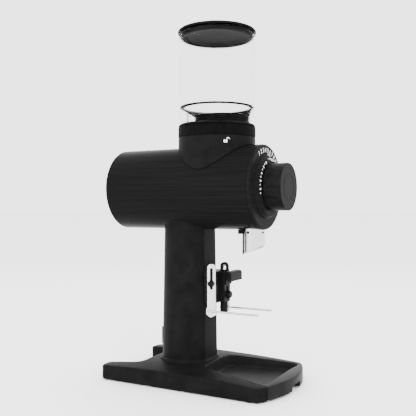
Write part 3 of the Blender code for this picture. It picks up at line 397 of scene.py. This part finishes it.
def crowned_top(bm, outer, hole=(), pitch=7 * MM):
    """Fills between the rim vertices with a triangulated crown. outer and hole are lists of bm verts."""
    rims = [outer, hole] if hole else [outer]
    verts = [v for rim in rims for v in rim]
    flat = [v.co.to_2d() for v in verts]
    outline = [v.co.to_2d() for v in outer]
    gap_line = [v.co.to_2d() for v in hole]
    edges, start = [], 0
    for rim in rims:
        edges += [(start + i, start + (i + 1) % len(rim)) for i in range(len(rim))]
        start += len(rim)
    low = Vector((min(p.x for p in outline), min(p.y for p in outline)))
    high = Vector((max(p.x for p in outline), max(p.y for p in outline)))
    extra, clear = [], pitch * 0.4
    for i in range(int((high.x - low.x) / pitch) + 1):
        for j in range(int((high.y - low.y) / pitch) + 1):
            spot = low + Vector((i + 0.5 * (j % 2), j)) * pitch
            if not inside(spot, outline) or near(spot, outline, clear):
                continue
            if gap_line and (inside(spot, gap_line) or near(spot, gap_line, clear)):
                continue
            extra.append(spot)
    verts += [bm.verts.new((p.x, p.y, crown(p.x, p.y))) for p in extra]
    epsilon = 1e-9
    points, _, faces, originals, _, _ = delaunay_2d_cdt(flat + extra, edges, [], 0, epsilon)
    for face in faces:
        middle = sum((points[i] for i in face), Vector((0, 0))) / 3
        if inside(middle, outline) and not (gap_line and inside(middle, gap_line)):
            bm.faces.new([verts[originals[i][0]] for i in face])


def quarter(steps):
    """(1 - cos, 1 - sin) at the steps of a quarter turn: how far a rounding is from its two faces."""
    angles = [math.pi / 2 * k / steps for k in range(steps + 1)]
    return [(1 - math.cos(angle), 1 - math.sin(angle)) for angle in angles]


def crowned_rings(bm, loop, radii, low, chamfer=0.8 * MM):
    """Wall and rounded rim of a crowned body, from the bottom up. Returns its bottom and top rows."""
    bottom = inset(loop, [chamfer] * len(loop))
    rings = [[(p.x, p.y, low) for p in bottom], [(p.x, p.y, low + chamfer) for p in loop]]
    for across, down in quarter(4):
        moved = inset(loop, [r * across for r in radii])
        rings.append([(p.x, p.y, crown(p.x, p.y) - r * down) for p, r in zip(moved, radii)])
    rows = add_rows(bm, rings)
    join_rows(bm, rows)
    return rows[0], rows[-1]


def bow(x):
    """Y of the bowed front at a place across it, both in mm."""
    return BOW - math.sqrt(BOW**2 - x**2) - HALF_Y


def arc(half, count):
    """Corners in metres along the bowed front, from +X to -X."""
    out = []
    for i in range(count + 1):
        x = half * MM * (1 - 2 * i / count)
        out.append((x, bow(x / MM) * MM, 0))
    return out


def spread(y):
    """Half width of the tray at a place along it, in mm."""
    return TRAY_HALF + TRAY_FLARE * (-y + TRAY_REAR)


def base_rounding(p):
    """Rounding of the base's top edge: fine along the tray's bay, and 1.35 mm more from 10 mm beside it."""
    part = 1
    if p.y < (BAY_REAR + 0.2) * MM:
        part = min(1, max(0, (abs(p.x) / MM - spread(p.y / MM) - 2) / 8))
    return (FINE + 1.35 * part * part * (3 - 2 * part)) * MM


def base_casting():
    wall = spread(-116.2) + 0.35
    corners = mm([(46.5, 77, 14), (52, 125.2, 5), (74.5, 125.2, 8), (74.5, -108.3, 9)])
    front = [p for p in arc(65.2, 60) if p[0] > (wall + 1.6) * MM]
    bay = mm([(wall, bow(wall), 1.2), (spread(BAY_REAR) + 0.3, BAY_REAR, 12)])
    half = corners + front + bay
    whole = half + [(-x, y, r) for x, y, r in half[::-1]]
    loop = anticlockwise(dense(rounded(whole, 7)))
    bm = bmesh.new()
    low, high = crowned_rings(bm, loop, [base_rounding(p) for p in loop], 1.5 * MM)
    bm.faces.new(low)
    crowned_top(bm, high)
    piece("base_surface", bm, PAINT, "frame", ["base_casting"], 32)
    close, far = spread(-112), spread(BAY_REAR) - 1
    web = [(far, -12), (close, -112), (-close, -112), (-far, -12)]
    piece("base_web", prism(mm(web), 1.6 * MM, 4 * MM), PAINT, "frame")


def grounds_tray():
    rear = mm([(-TRAY_HALF, TRAY_REAR, 11.7), (TRAY_HALF, TRAY_REAR, 11.7)])
    loop = anticlockwise(dense(rounded(rear + arc(61.6, 30), 7)))
    radii = [(1.7 if p.y < -117 * MM else FINE) * MM for p in loop]
    bm = bmesh.new()
    low, high = crowned_rings(bm, loop, radii, 2.4 * MM)
    bm.faces.new(low)
    far, close = spread(-15.4) - 1.5, spread(-112.8) - 1.5
    corners = mm([(far, -15.4, 12), (close, -112.8, 7), (-close, -112.8, 7), (-far, -15.4, 12)])
    recess = anticlockwise(dense(rounded(corners, 8)))
    lip, fillet, floor = 0.7 * MM, 4 * MM, 9 * MM
    rings = []
    for down, out in quarter(3):
        moved = inset(recess, [-lip * out] * len(recess))
        rings.append([(p.x, p.y, crown(p.x, p.y) - lip * down) for p in moved])
    for across, up in quarter(5):
        moved = inset(recess, [fillet * across] * len(recess))
        rings.append([(p.x, p.y, floor + fillet * up) for p in moved])
    rows = add_rows(bm, rings)
    join_rows(bm, rows)
    bm.faces.new(rows[-1])
    crowned_top(bm, high, rows[0])
    tray = piece("tray_surface", bm, TRAY, "tray", ["grounds_tray"], 32)
    pull = rounded(mm([(-14, -10, 0), (14, -10, 0), (14, 10, 2), (-14, 10, 2)]))
    hole = cutter(prism(pull, 117 * MM, 140 * MM), laid(0, 0, 0, "X"))
    under = cube((-90, -112.3, -5), (90, 5, 4.3))
    carve(tray, hole, under)


def feet():
    for side, sign in (("left", -1), ("right", 1)):
        for end, r, x, y in (("front", 5.5, 67.8, -95), ("rear", 7, 62, 108)):
            profile = [(0, 3.3), (r, 3.3), (r, 0, 0.8), (r * 0.7, 0), (r * 0.66, 0.4), (r * 0.5, 0.4),
                       (r * 0.46, 0), (0, 0)]
            name = f"foot_{end}_{side}"
            place = Matrix.Translation((sign * x * MM, y * MM, 0))
            piece(name + "_pad", lathe(turn(profile), 40), RUBBER, "frame", [name], place=place)


# ------------------------------------------------------------ column and barrel


def column_ring(height, grow, steps=96):
    """The column's outline at a height: round with a flat front, wider towards the foot."""
    part = (232 - height) / 212
    radius = 34.7 + 3.4 * part + grow
    flat = 4.1 + 3.2 * part + COL + grow
    half = math.acos(flat / radius)
    corners = []
    for i in range(steps + 1):
        angle = half + (2 * math.pi - 2 * half) * i / steps
        fillet = 1.6 if i in (0, steps) else 0
        corners.append((radius * math.sin(angle), COL - radius * math.cos(angle), fillet))
    return [(p.x, p.y, height * MM) for p in rounded(mm(corners), 3)]


def column():
    rings = [column_ring(24, 3.4)]
    fillet = 3
    for k in range(7):
        angle = math.pi / 2 * k / 6
        grow = fillet * (1 - math.cos(math.pi / 2 - angle))
        rings.append(column_ring(27.2 + fillet * math.sin(angle), grow))
    rings += [column_ring(h, 0) for h in (60, 100, 140, 180, 220)]
    shape = piece("column_surface", skin(rings), PAINT, "frame", ["column"], 24)
    bore = cylinder(23 * MM, 34 * MM, 0.3, upright(COL), 48)
    panel = cube((-60, 60.5, 38), (60, 100, 112))
    inlet = cube((-14, 30, 46), (14, 100, 66))
    switch = cube((-7, 30, 81), (7, 100, 101))
    carve(shape, barrel_cutter(), bore, panel, inlet, switch)


def barrel():
    front, rear = 84, -HALF_Y
    shell = [(56, front), (56, rear, 1.2), (54, rear, 0.6), (51.5, rear + 1.4), (51.5, front)]
    shape = piece("barrel_surface", lathe(turn(shell), 168), BARREL, "frame",
                  ["barrel_housing"], place=forward())
    throat = cylinder(22 * MM, AXIS * MM, 0.4, HOPPER, 48)
    lead = cylinder(10 * MM, 0.19, AXIS * MM, upright(COL), 32)
    chute = cylinder(12.6 * MM, 0.19, AXIS * MM, upright(SPOUT), 40)
    carve(shape, throat, lead, chute)


def rear_cap():
    cap = [(0, -124.5), (51.2, -124.5), (51.2, -128.6, 0.6), (47, -128.6), (46.4, -128), (45.2, -128),
           (44.6, -128.6), (14, -128.6), (13.4, -128), (12.4, -128), (11.8, -128.6), (0, -128.6)]
    shape = piece("rear_cap_surface", lathe(turn(cap), 96), PLASTIC, "frame",
                  ["rear_cap"], place=forward())
    plan = rounded(mm([(-1.3, 19, 1.2), (1.3, 19, 1.2), (1.3, 41, 1.2), (-1.3, 41, 1.2)]), 4)
    vents = []
    for i in range(24):
        turned = forward() @ Matrix.Rotation(math.pi * i / 12, 4, "Z")
        vents.append(cutter(prism(plan, -140 * MM, -110 * MM), turned))
    carve(shape, *vents)
    for i in range(3):
        turned = forward() @ Matrix.Rotation(math.radians(90 + 120 * i), 4, "Z")
        spot = turned @ Matrix.Translation((48.9 * MM, 0, -129.4 * MM))
        screw(f"rear_cap_screw_{i}", 1.7, spot @ Matrix.Rotation(math.pi, 4, "X"))


def screw(name, r, place, nodes=()):
    """Button head with a hexagon socket, facing local +Z."""
    profile = [(0, 0.5 * r), (0.7 * r, 0.45 * r), (r, 0, 0.2 * r), (r, -1.2), (0, -1.2)]
    head = piece(name, lathe(turn(profile), 32), DARK, "frame", nodes, place=place)
    key = bmesh.new()
    wide = 0.45 * r * MM
    bmesh.ops.create_cone(key, cap_ends=True, segments=6, radius1=wide, radius2=wide, depth=r * 1.2 * MM)
    carve(head, cutter(key, place @ Matrix.Translation((0, 0, 0.6 * r * MM))))


def dial():
    plate = [(53.3, 88.1), (55.8, 88.1, 2.3), (55.8, 84.3), (13, 84.3), (13, 90), (6.2, 90), (6.2, 94.6),
             (31.6, 94.6), (31.9, 94.1), (32.6, 94.1), (32.9, 94.6), (36.4, 94.6), (36.7, 94.2),
             (37.3, 94.2), (37.6, 94.6), (38.8, 94.1, 0.5), (39.4, 91.4, 0.6), (41.2, 90.9, 0.5),
             (41.6, 88.4, 0.4), (43.2, 88.1), (43.4, 87.8), (43.9, 87.8), (44.1, 88.1)]
    piece("dial_surface", lathe(turn(plate), 144), ANODISED, "frame", ["dial_plate"], 28,
          forward())
    knob = [(0, 119.4), (16.6, 119.4), (16.9, 119.1), (17.5, 119.1), (17.8, 119.4), (28.4, 119.4),
            (28.9, 119.7, 0.2), (30.8, 119.7, 0.7), (30.8, 96.6, 0.3), (29.9, 95.8), (29.9, 95.1),
            (27, 95.1), (27, 113.7), (9, 113.7), (9, 95.1), (5.15, 95.1), (5.15, 117.9), (0, 117.9)]
    piece("knob_surface", lathe(turn(knob), 128), ANODISED, "knob", ["adjusting_knob"], 28,
          forward())


# ------------------------------------------------------------ marks


def flat_marks(name, shapes, look, place, thick=0.12 * MM):
    """Printed marks: each shape is an outline in the local plane, a little proud of the surface."""
    bm = bmesh.new()
    for outline in shapes:
        rows = add_rows(bm, [[(x, y, z) for x, y in outline] for z in (0, thick)])
        join_rows(bm, rows)
        bm.faces.new(rows[0])
        bm.faces.new(rows[1])
    piece(name, bm, look, "frame", angle=30, place=place)


def polar(r, degrees):
    """A point on the dial, degrees anticlockwise from the +X side as seen from the front."""
    return (r * MM * math.cos(math.radians(degrees)), r * MM * math.sin(math.radians(degrees)))


def dial_marks():
    """Ticks, each second one longer and wider, and a crescent with a tip as the pointer."""
    rim = forward(-94.55)
    first, pitch, outer = 117, 8.6, 36.2
    ticks = []
    for i in range(10):
        angle = first + pitch * i
        wide, inner = (1.7, 32.6) if i % 2 == 0 else (1.2, 33.8)
        ticks.append([polar(inner, angle - wide), polar(outer, angle - wide), polar(outer, angle + wide),
                      polar(inner, angle + wide)])
    flat_marks("dial_ticks", ticks, PRINT, rim)
    crescent = [polar(37.4, 60 + 4 * i) for i in range(13)]
    crescent += [polar(33.9 + 3.4 * abs(6 - i) / 6, 108 - 4 * i) for i in range(13)]
    flat_marks("dial_pointer", [crescent], GREY_PRINT, rim)
    tip = [polar(38.9, 80), polar(38.9, 88), polar(44.2, 84)]
    flat_marks("dial_pointer_tip", [tip], GREY_PRINT, forward(-88), 3.4 * MM)


def numerals():
    """The numbers 1 to 9 round the dial, 9 first from the +X side."""
    first, pitch, radius = 48, 8.8, 45.4
    bm = bmesh.new()
    for i in range(9):
        letter = bpy.data.curves.new("numeral", "FONT")
        letter.body = str(9 - i)
        letter.size = 8.6 * MM
        letter.align_x = "CENTER"
        letter.extrude = 0.06 * MM
        drawn = bpy.data.objects.new("numeral", letter)
        SCENE.objects.link(drawn)
        flat = evaluated(drawn)
        turned = Matrix.Rotation(math.radians(first + pitch * i) - math.pi / 2, 4, "Z")
        flat.transform(turned @ Matrix.Translation((0, radius * MM, 0)))
        bm.from_mesh(flat)
        drop(drawn)
    piece("dial_numerals", bm, PRINT, "frame", angle=30, place=forward(-88.16))


def padlock():
    """A plain open padlock on the collar: its body, its shackle and the shackle's leg."""
    body = rounded(mm([(-3.1, -3.5, 0.4), (1.6, -3.5, 0.4), (1.6, -0.2, 0.4), (-3.1, -0.2, 0.4)]), 3)
    shackle = []
    for r, order in ((2.0, range(9)), (1.2, range(8, -1, -1))):
        shackle += [(2.6 + r * math.cos(math.pi * k / 8), 1.1 + r * math.sin(math.pi * k / 8)) for k in order]
    leg = [(0.6, -0.4), (1.4, -0.4), (1.4, 1.2), (0.6, 1.2)]
    out = Vector((-40.1, -49.5 - HOP, 0)).normalized()
    across = Vector((-out.y, out.x, 0))
    spot = Vector((0, HOP * MM, 321 * MM)) + out * 52.38 * MM
    place = Matrix.Translation(spot) @ Matrix((across, Vector((0, 0, 1)), out)).transposed().to_4x4()
    flat_marks("padlock_mark", [body, mm(shackle), mm(leg)], PRINT, place)


# ------------------------------------------------------------ hopper


def collar():
    shell = [(52.3, 262), (52.3, 327.9, 0.7), (44, 327.9, 0.5), (44, 325.6), (22, 325.6), (22, 262.5)]
    shape = piece("collar_surface", lathe(turn(shell), 160), PAINT, "frame",
                  ["hopper_collar"], place=HOPPER)
    carve(shape, barrel_cutter(57.2))
    core = [(51.2, 270), (51.2, 320), (44.5, 320), (44.5, 270)]
    seat = piece("collar_seat", lathe(turn(core), 128), RING, "frame", place=HOPPER)
    carve(seat, barrel_cutter(56.05))


def ring():
    """The lock ring, its outer face fluted."""
    profile = turn([(50.9, 343.1), (52.5, 341.4, 0.5), (52.5, 329.4, 0.3), (51.9, 328.2), (44.6, 328.2),
                    (44.6, 343.1)], 2)
    outer = [k for k, (r, z) in enumerate(profile) if r > 52.1 * MM]
    flutes, depth = 84, (0, 0.1, 0.42, 0.42, 0.1, 0)

    def wave(k, i):
        return -depth[i % len(depth)] * MM if k in outer else 0

    piece("ring_surface", lathe(profile, flutes * len(depth), wave), RING, "ring",
          ["lock_ring"], 50, HOPPER)


def jar():
    glass = [(52.4, 470, 0.6), (52.4, 346.6, 0.6), (50.3, 346.6, 0.6), (50.3, 470, 0.6)]
    piece("jar_surface", lathe(turn(glass), 144), CLEAR, "hopper", ["hopper"], place=HOPPER)
    foot = [(50, 346.3, 0.5), (52.2, 343.9, 0.4), (52.2, 343.4), (43.6, 343.4), (43.6, 326, 0.4),
            (41.4, 326, 0.4), (41.4, 346.3, 0.6)]
    piece("jar_foot", lathe(turn(foot), 144), LID, "hopper", place=HOPPER)


def circle(radius, height, shift=0.0, count=112):
    """A level ring of points, moved forward by a shift."""
    angles = [2 * math.pi * i / count for i in range(count)]
    return mm([(radius * math.cos(a), radius * math.sin(a) - shift, height) for a in angles])


def funnel():
    """The funnel, its cone clear on the camera's side and black on the other, and its leg."""
    rings = [circle(36.9, 346.3, 7.9), circle(36.9, 355.6, 7.9), circle(37.3, 356.8, 7.8),
             circle(48, 368.7), circle(49.5, 368.9), circle(50, 369.2), circle(50, 370.1),
             circle(49.6, 370.5), circle(46, 370.5), circle(45.6, 370.1), circle(45.4, 369.2),
             circle(35.6, 357.6, 7.8), circle(35.3, 356.4, 7.9), circle(35.3, 346.3, 7.9)]
    facing = Matrix.Rotation(VIEW_TURN, 4, "Z")
    for name, look, slot, gap, operation in (("funnel", LID, "black_plastic", 0, "DIFFERENCE"),
                                             ("funnel_window", WINDOW, "clear_plastic", 0.3, "INTERSECT")):
        shape = piece(name + "_surface", skin(rings, True), look, "hopper", [name], 40, HOPPER)
        window = cube((-100, -100, 357.3 + gap), (-gap, 100, 368.6 - gap), HOPPER @ facing)
        carve(shape, window, operation=operation)
    spot = Vector((0, HOP * MM, 0)) - RIGHT * 40.4 * MM + LOOK * 24 * MM
    leg = rounded(mm([(-0.5, -0.9, 0.3), (0.5, -0.9, 0.3), (0.5, 0.9, 0.3), (-0.5, 0.9, 0.3)]), 2)
    piece("funnel_leg", prism(leg, 346 * MM, 368.9 * MM), LID, "hopper",
          place=Matrix.Translation(spot) @ facing)


def lid():
    top = [(0, 474.5), (40, 474.2), (51.6, 473.6), (53.2, 472.2, 0.8), (53.2, 470.3, 0.5), (46.5, 470.3),
           (46.5, 463.7, 0.3), (44.8, 463.7, 0.4), (43, 465.2, 1.5), (30, 467.6, 6), (0, 468.8)]
    piece("lid_surface", lathe(turn(top), 144), LID, "lid", ["lid"], 24, HOPPER)
    seal = [(49, 469.8), (49.9, 469.2, 0.3), (49.2, 468.3), (49.2, 467.7), (49.9, 467.1, 0.2),
            (49.9, 464.6, 0.6), (48.8, 463.8, 0.4), (46.8, 463.8), (46.8, 469.8)]
    piece("lid_seal_surface", lathe(turn(seal, 2), 112), RUBBER, "lid", ["lid_seal"], place=HOPPER)


# ------------------------------------------------------------ spout


def spout():
    tube = [(13.7, 212), (13.7, 172.8), (12.5, 172.8), (12.5, 212)]
    shape = piece("spout_surface", lathe(turn(tube), 96), STEEL, "frame", ["grind_spout"],
                  place=upright(SPOUT))
    mouth = Matrix.Translation((0, -57.8 * MM, 172.8 * MM)) @ Matrix.Rotation(math.radians(-23), 4, "X")
    carve(shape, barrel_cutter(steps=128), cube((-50, -80, -50), (50, 60, 0), mouth))
    for name, bearing, r in (("spout_screw_side", 166, 1.9), ("spout_screw_front", 255, 1.35)):
        out = Vector((math.cos(math.radians(bearing)), math.sin(math.radians(bearing)), 0))
        turned = Vector((0, 0, 1)).rotation_difference(out).to_matrix().to_4x4()
        spot = Vector((0, SPOUT, 201.4)) * MM + out * 14.4 * MM
        screw(name + "_head", r, Matrix.Translation(spot) @ turned, [name])


def knocker():
    """The rod that hangs behind the spout, and its eye."""
    y, z = -55.3, 201.6
    rod = [(0, -29.5), (0.8, -29.5), (1.2, -29, 0.2), (1.2, -1.3), (0, -1.3)]
    piece("knocker_surface", lathe(turn(rod), 24), PAINT, "knocker", ["spout_knocker"],
          place=Matrix.Translation((0, y * MM, z * MM)))
    eye = [(1.9, 1.4, 0.3), (1.9, -1.4, 0.3), (0.9, -1.4), (0.9, 1.4)]
    piece("knocker_eye", lathe(turn(eye), 24), PAINT, "knocker", place=laid(0, y, z, "Y"))


# ------------------------------------------------------------ fork


SLOT = 18.2  # middle of the arms' slots, in front of the origin
PIVOT = (0, -37.3, 144)  # the bar's pivot


def soften(node, look, width):
    """A CAD node kept as it is, with a rounded edge and its own material."""
    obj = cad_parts[node]
    weld = obj.modifiers.new("weld", "WELD")
    weld.merge_threshold = 1e-6
    bevel(obj, width, 3)
    dress(node, look)


def dress(node, look):
    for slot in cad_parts[node].material_slots:
        slot.material = look


def fork_arm(side, sign):
    """A slotted plate with a wider foot, and the prong in that foot."""
    half, foot = 6.2, 6.6
    corners = [(SLOT - half, 158.9, 5.9), (SLOT + half, 158.9, 5.9), (SLOT + half, 100.6, 2),
               (SLOT + foot, 98.5, 1.2), (SLOT + foot, 91.5, 2.2), (SLOT - 1.2, 87.3, 3),
               (SLOT - 7.7, 91.6, 2.2), (SLOT - 7.7, 98.6, 1.2), (SLOT - half, 100.8, 2)]
    low, thick = (19.6 if sign > 0 else -21.4), 1.8
    plate = piece(f"fork_plate_{side}", prism(rounded(mm(corners), 7), low * MM, (low + thick) * MM),
                  STEEL, f"arm_{side}", [f"fork_arm_{side}"], place=SIDEWAYS)
    left, right, bottom, top = SLOT - 2.15, SLOT + 2.15, 124.8, 153.5
    opening = mm([(left, bottom, 2.1), (right, bottom, 2.1), (right, top, 2.1), (left, top, 2.1)])
    carve(plate, cutter(prism(rounded(opening, 7), (low - 5) * MM, (low + 7) * MM), SIDEWAYS))
    bevel(plate, 0.3, 2, 50)
    rod = [(0, 86.9), (0.8, 86.9), (1.3, 86.3, 0.3), (1.3, 12.6), (0, 12.6)]
    piece(f"fork_rod_{side}", lathe(turn(rod), 24), ROD, f"arm_{side}",
          place=laid(sign * 22.5, 0, 96.2, "X"))


def fork_bolt(side, sign):
    place = laid(sign * 21.7, -SLOT, 132.8, "Y", sign)
    shank = [(0, 0), (1.7, 0), (1.7, -11.6), (0, -11.6)]
    piece(f"fork_bolt_shank_{side}", lathe(turn(shank), 20), PLASTIC, f"bolt_{side}",
          place=place)
    corners = [(4.3 * MM * math.cos(math.pi * k / 3), 4.3 * MM * math.sin(math.pi * k / 3), 0.4 * MM)
               for k in range(6)]
    hexagon = rounded(corners, 2)
    levels = ((0.9, 0), (1, 0.4), (1, 3.2), (0.86, 3.9))
    cap = skin([[(a * size, b * size, z * MM) for a, b in hexagon] for size, z in levels])
    piece(f"fork_bolt_cap_{side}", cap, PLASTIC, f"bolt_{side}", [f"fork_bolt_{side}"],
          place=place)


def stem():
    profile = [(0, 107), (5, 107), (5, 101.2, 0.3), (5.6, 100.6, 0.3), (5.6, 99, 0.3), (5, 98.4, 0.3),
               (5, 92.3, 0.8), (0, 92.3)]
    piece("stem_surface", lathe(turn(profile), 40), RUBBER, "slider", ["hook_stem"],
          place=upright(-26.2))


def thumb_knob():
    head = turn([(0, 37), (4.2, 37), (4.8, 36.2, 0.3), (4.8, 32.6, 0.3), (4, 31.8), (1.8, 31.8), (1.8, 12),
                 (0, 12)])
    # lathe() doesn't count a solid profile's first point, hence k - 1.
    grips = [k - 1 for k, (r, z) in enumerate(head) if r > 4.5 * MM]

    def grip(k, i):
        return -0.35 * MM if i % 4 < 2 and k in grips else 0

    piece("thumb_surface", lathe(head, 64, grip), PLASTIC, "thumb", ["thumb_knob"],
          place=laid(0, 0, 117.2, "X"))


def hook_pivot():
    """The bar's pin and the round bosses on both sides of it."""
    pin = [(0, 13), (1.5, 13, 0.3), (1.5, -13, 0.3), (0, -13)]
    piece("hook_pin_surface", lathe(turn(pin), 24), DARK, "slider", ["hook_pin"],
          place=laid(*PIVOT, "Y"))
    boss = [(0, 16.9), (5.3, 16.9, 0.3), (5.3, 16, 0.2), (0, 16)]
    for side, sign in (("left", -1), ("right", 1)):
        piece(f"hook_boss_{side}", lathe(turn(boss), 48), RING, "bar",
              place=laid(*PIVOT, "Y", sign))


def fork():
    for side, sign in (("left", -1), ("right", 1)):
        fork_arm(side, sign)
        fork_bolt(side, sign)
    for node in ("fork_block", "hook_slider", "hook_bar"):
        soften(node, PLASTIC, 0.6)
    for node in ("pull_loop", "knocker_bracket"):
        soften(node, PAINT, 0.45)
    stem()
    thumb_knob()
    hook_pivot()


# ------------------------------------------------------------ inside and rear


def inside_parts():
    """Materials of the CAD nodes kept as they are."""
    looks = {
        "column_bolt": DARK, "control_board": BOARD, "capacitor": ALLOY, "motor_lead": RUBBER,
        "motor_front_plate": ALLOY, "motor_rear_plate": ALLOY, "motor_stator": COPPER,
        "motor_rotor": DARK, "front_bearing": STEEL, "rear_bearing": STEEL, "feed_throat": ALLOY,
        "grind_chamber": ALLOY, "spout_socket": PLASTIC, "adjusting_spindle": BRASS,
        "burr_holder": ALLOY, "stationary_burr": DARK, "rotating_burr": DARK, "preload_spring": STEEL,
        "drive_shaft": STEEL, "cooling_fan": PLASTIC, "feed_auger": STEEL, "burr_carrier": STEEL,
        "burr_nut": STEEL,
    }
    for node, look in looks.items():
        dress(node, look)


def power_inlet():
    """The rear's inlet and switch, and the three blades in the inlet."""
    for node in ("power_inlet", "switch_frame", "switch_rocker"):
        soften(node, PLASTIC, 0.5)
    half_wide, half_tall, front, rear = 1.05, 2.05, 45.2, 60.1
    for x, z in ((-7, 58), (0, 54), (7, 58)):
        pin = cube((x - half_wide, front, z - half_tall), (x + half_wide, rear, z + half_tall))
        pin.name = f"inlet_pin_{x + 7}"
        bevel(pin, 0.5, 3)
        pin.data.materials.append(BRASS)
        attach(pin, "frame")


# ------------------------------------------------------------ stage


def area(name, spot, aim, size, power):
    """A round lamp, its places and size in metres and its power in watts."""
    lamp = bpy.data.lights.new(name, "AREA")
    lamp.shape = "DISK"
    lamp.size = size
    lamp.energy = power
    obj = bpy.data.objects.new(name, lamp)
    obj.location = spot
    obj.rotation_euler = (Vector(aim) - Vector(spot)).to_track_quat("-Z", "Y").to_euler()
    SCENE.objects.link(obj)


def stage():
    """A pale floor, a white world and three soft lamps."""
    bm = bmesh.new()
    bmesh.ops.create_grid(bm, x_segments=1, y_segments=1, size=40)
    floor = new_object("floor", bm)
    pale = material("floor_white", (0.96, 0.96, 0.96), 0.9, noise=2, vary=0.01, bump=0.01, grain=80)
    floor.data.materials.append(pale)
    world = bpy.data.worlds.new("white")
    world.use_nodes = True
    background = world.node_tree.nodes["Background"]
    background.inputs["Color"].default_value = (1, 1, 1, 1)
    background.inputs["Strength"].default_value = 3.3
    bpy.context.scene.world = world
    area("key", (-1.0, -1.3, 1.5), (0, 0, 0.25), 0.9, 22)
    area("top", (0.4, 0.2, 1.7), (0, 0, 0.2), 1.2, 18)
    area("side", (-1.4, 0.8, 0.7), (0, 0, 0.25), 0.8, 8)


def camera():
    """The photograph's view: level, with the lens shifted a little."""
    lens = bpy.data.cameras.new("camera")
    lens.lens = 53.1
    lens.sensor_width = 36
    lens.shift_y = 0.0022
    obj = bpy.data.objects.new("camera", lens)
    obj.location = (-0.743, -0.399, 0.2323)
    obj.rotation_euler = LOOK.to_track_quat("-Z", "Y").to_euler()
    SCENE.objects.link(obj)
    bpy.context.scene.camera = obj


camera()
base_casting()
grounds_tray()
feet()
column()
barrel()
rear_cap()
dial()
dial_marks()
numerals()
padlock()
collar()
ring()
jar()
funnel()
lid()
spout()
knocker()
fork()
inside_parts()
power_inlet()
stage()
bpy.context.view_layer.update()
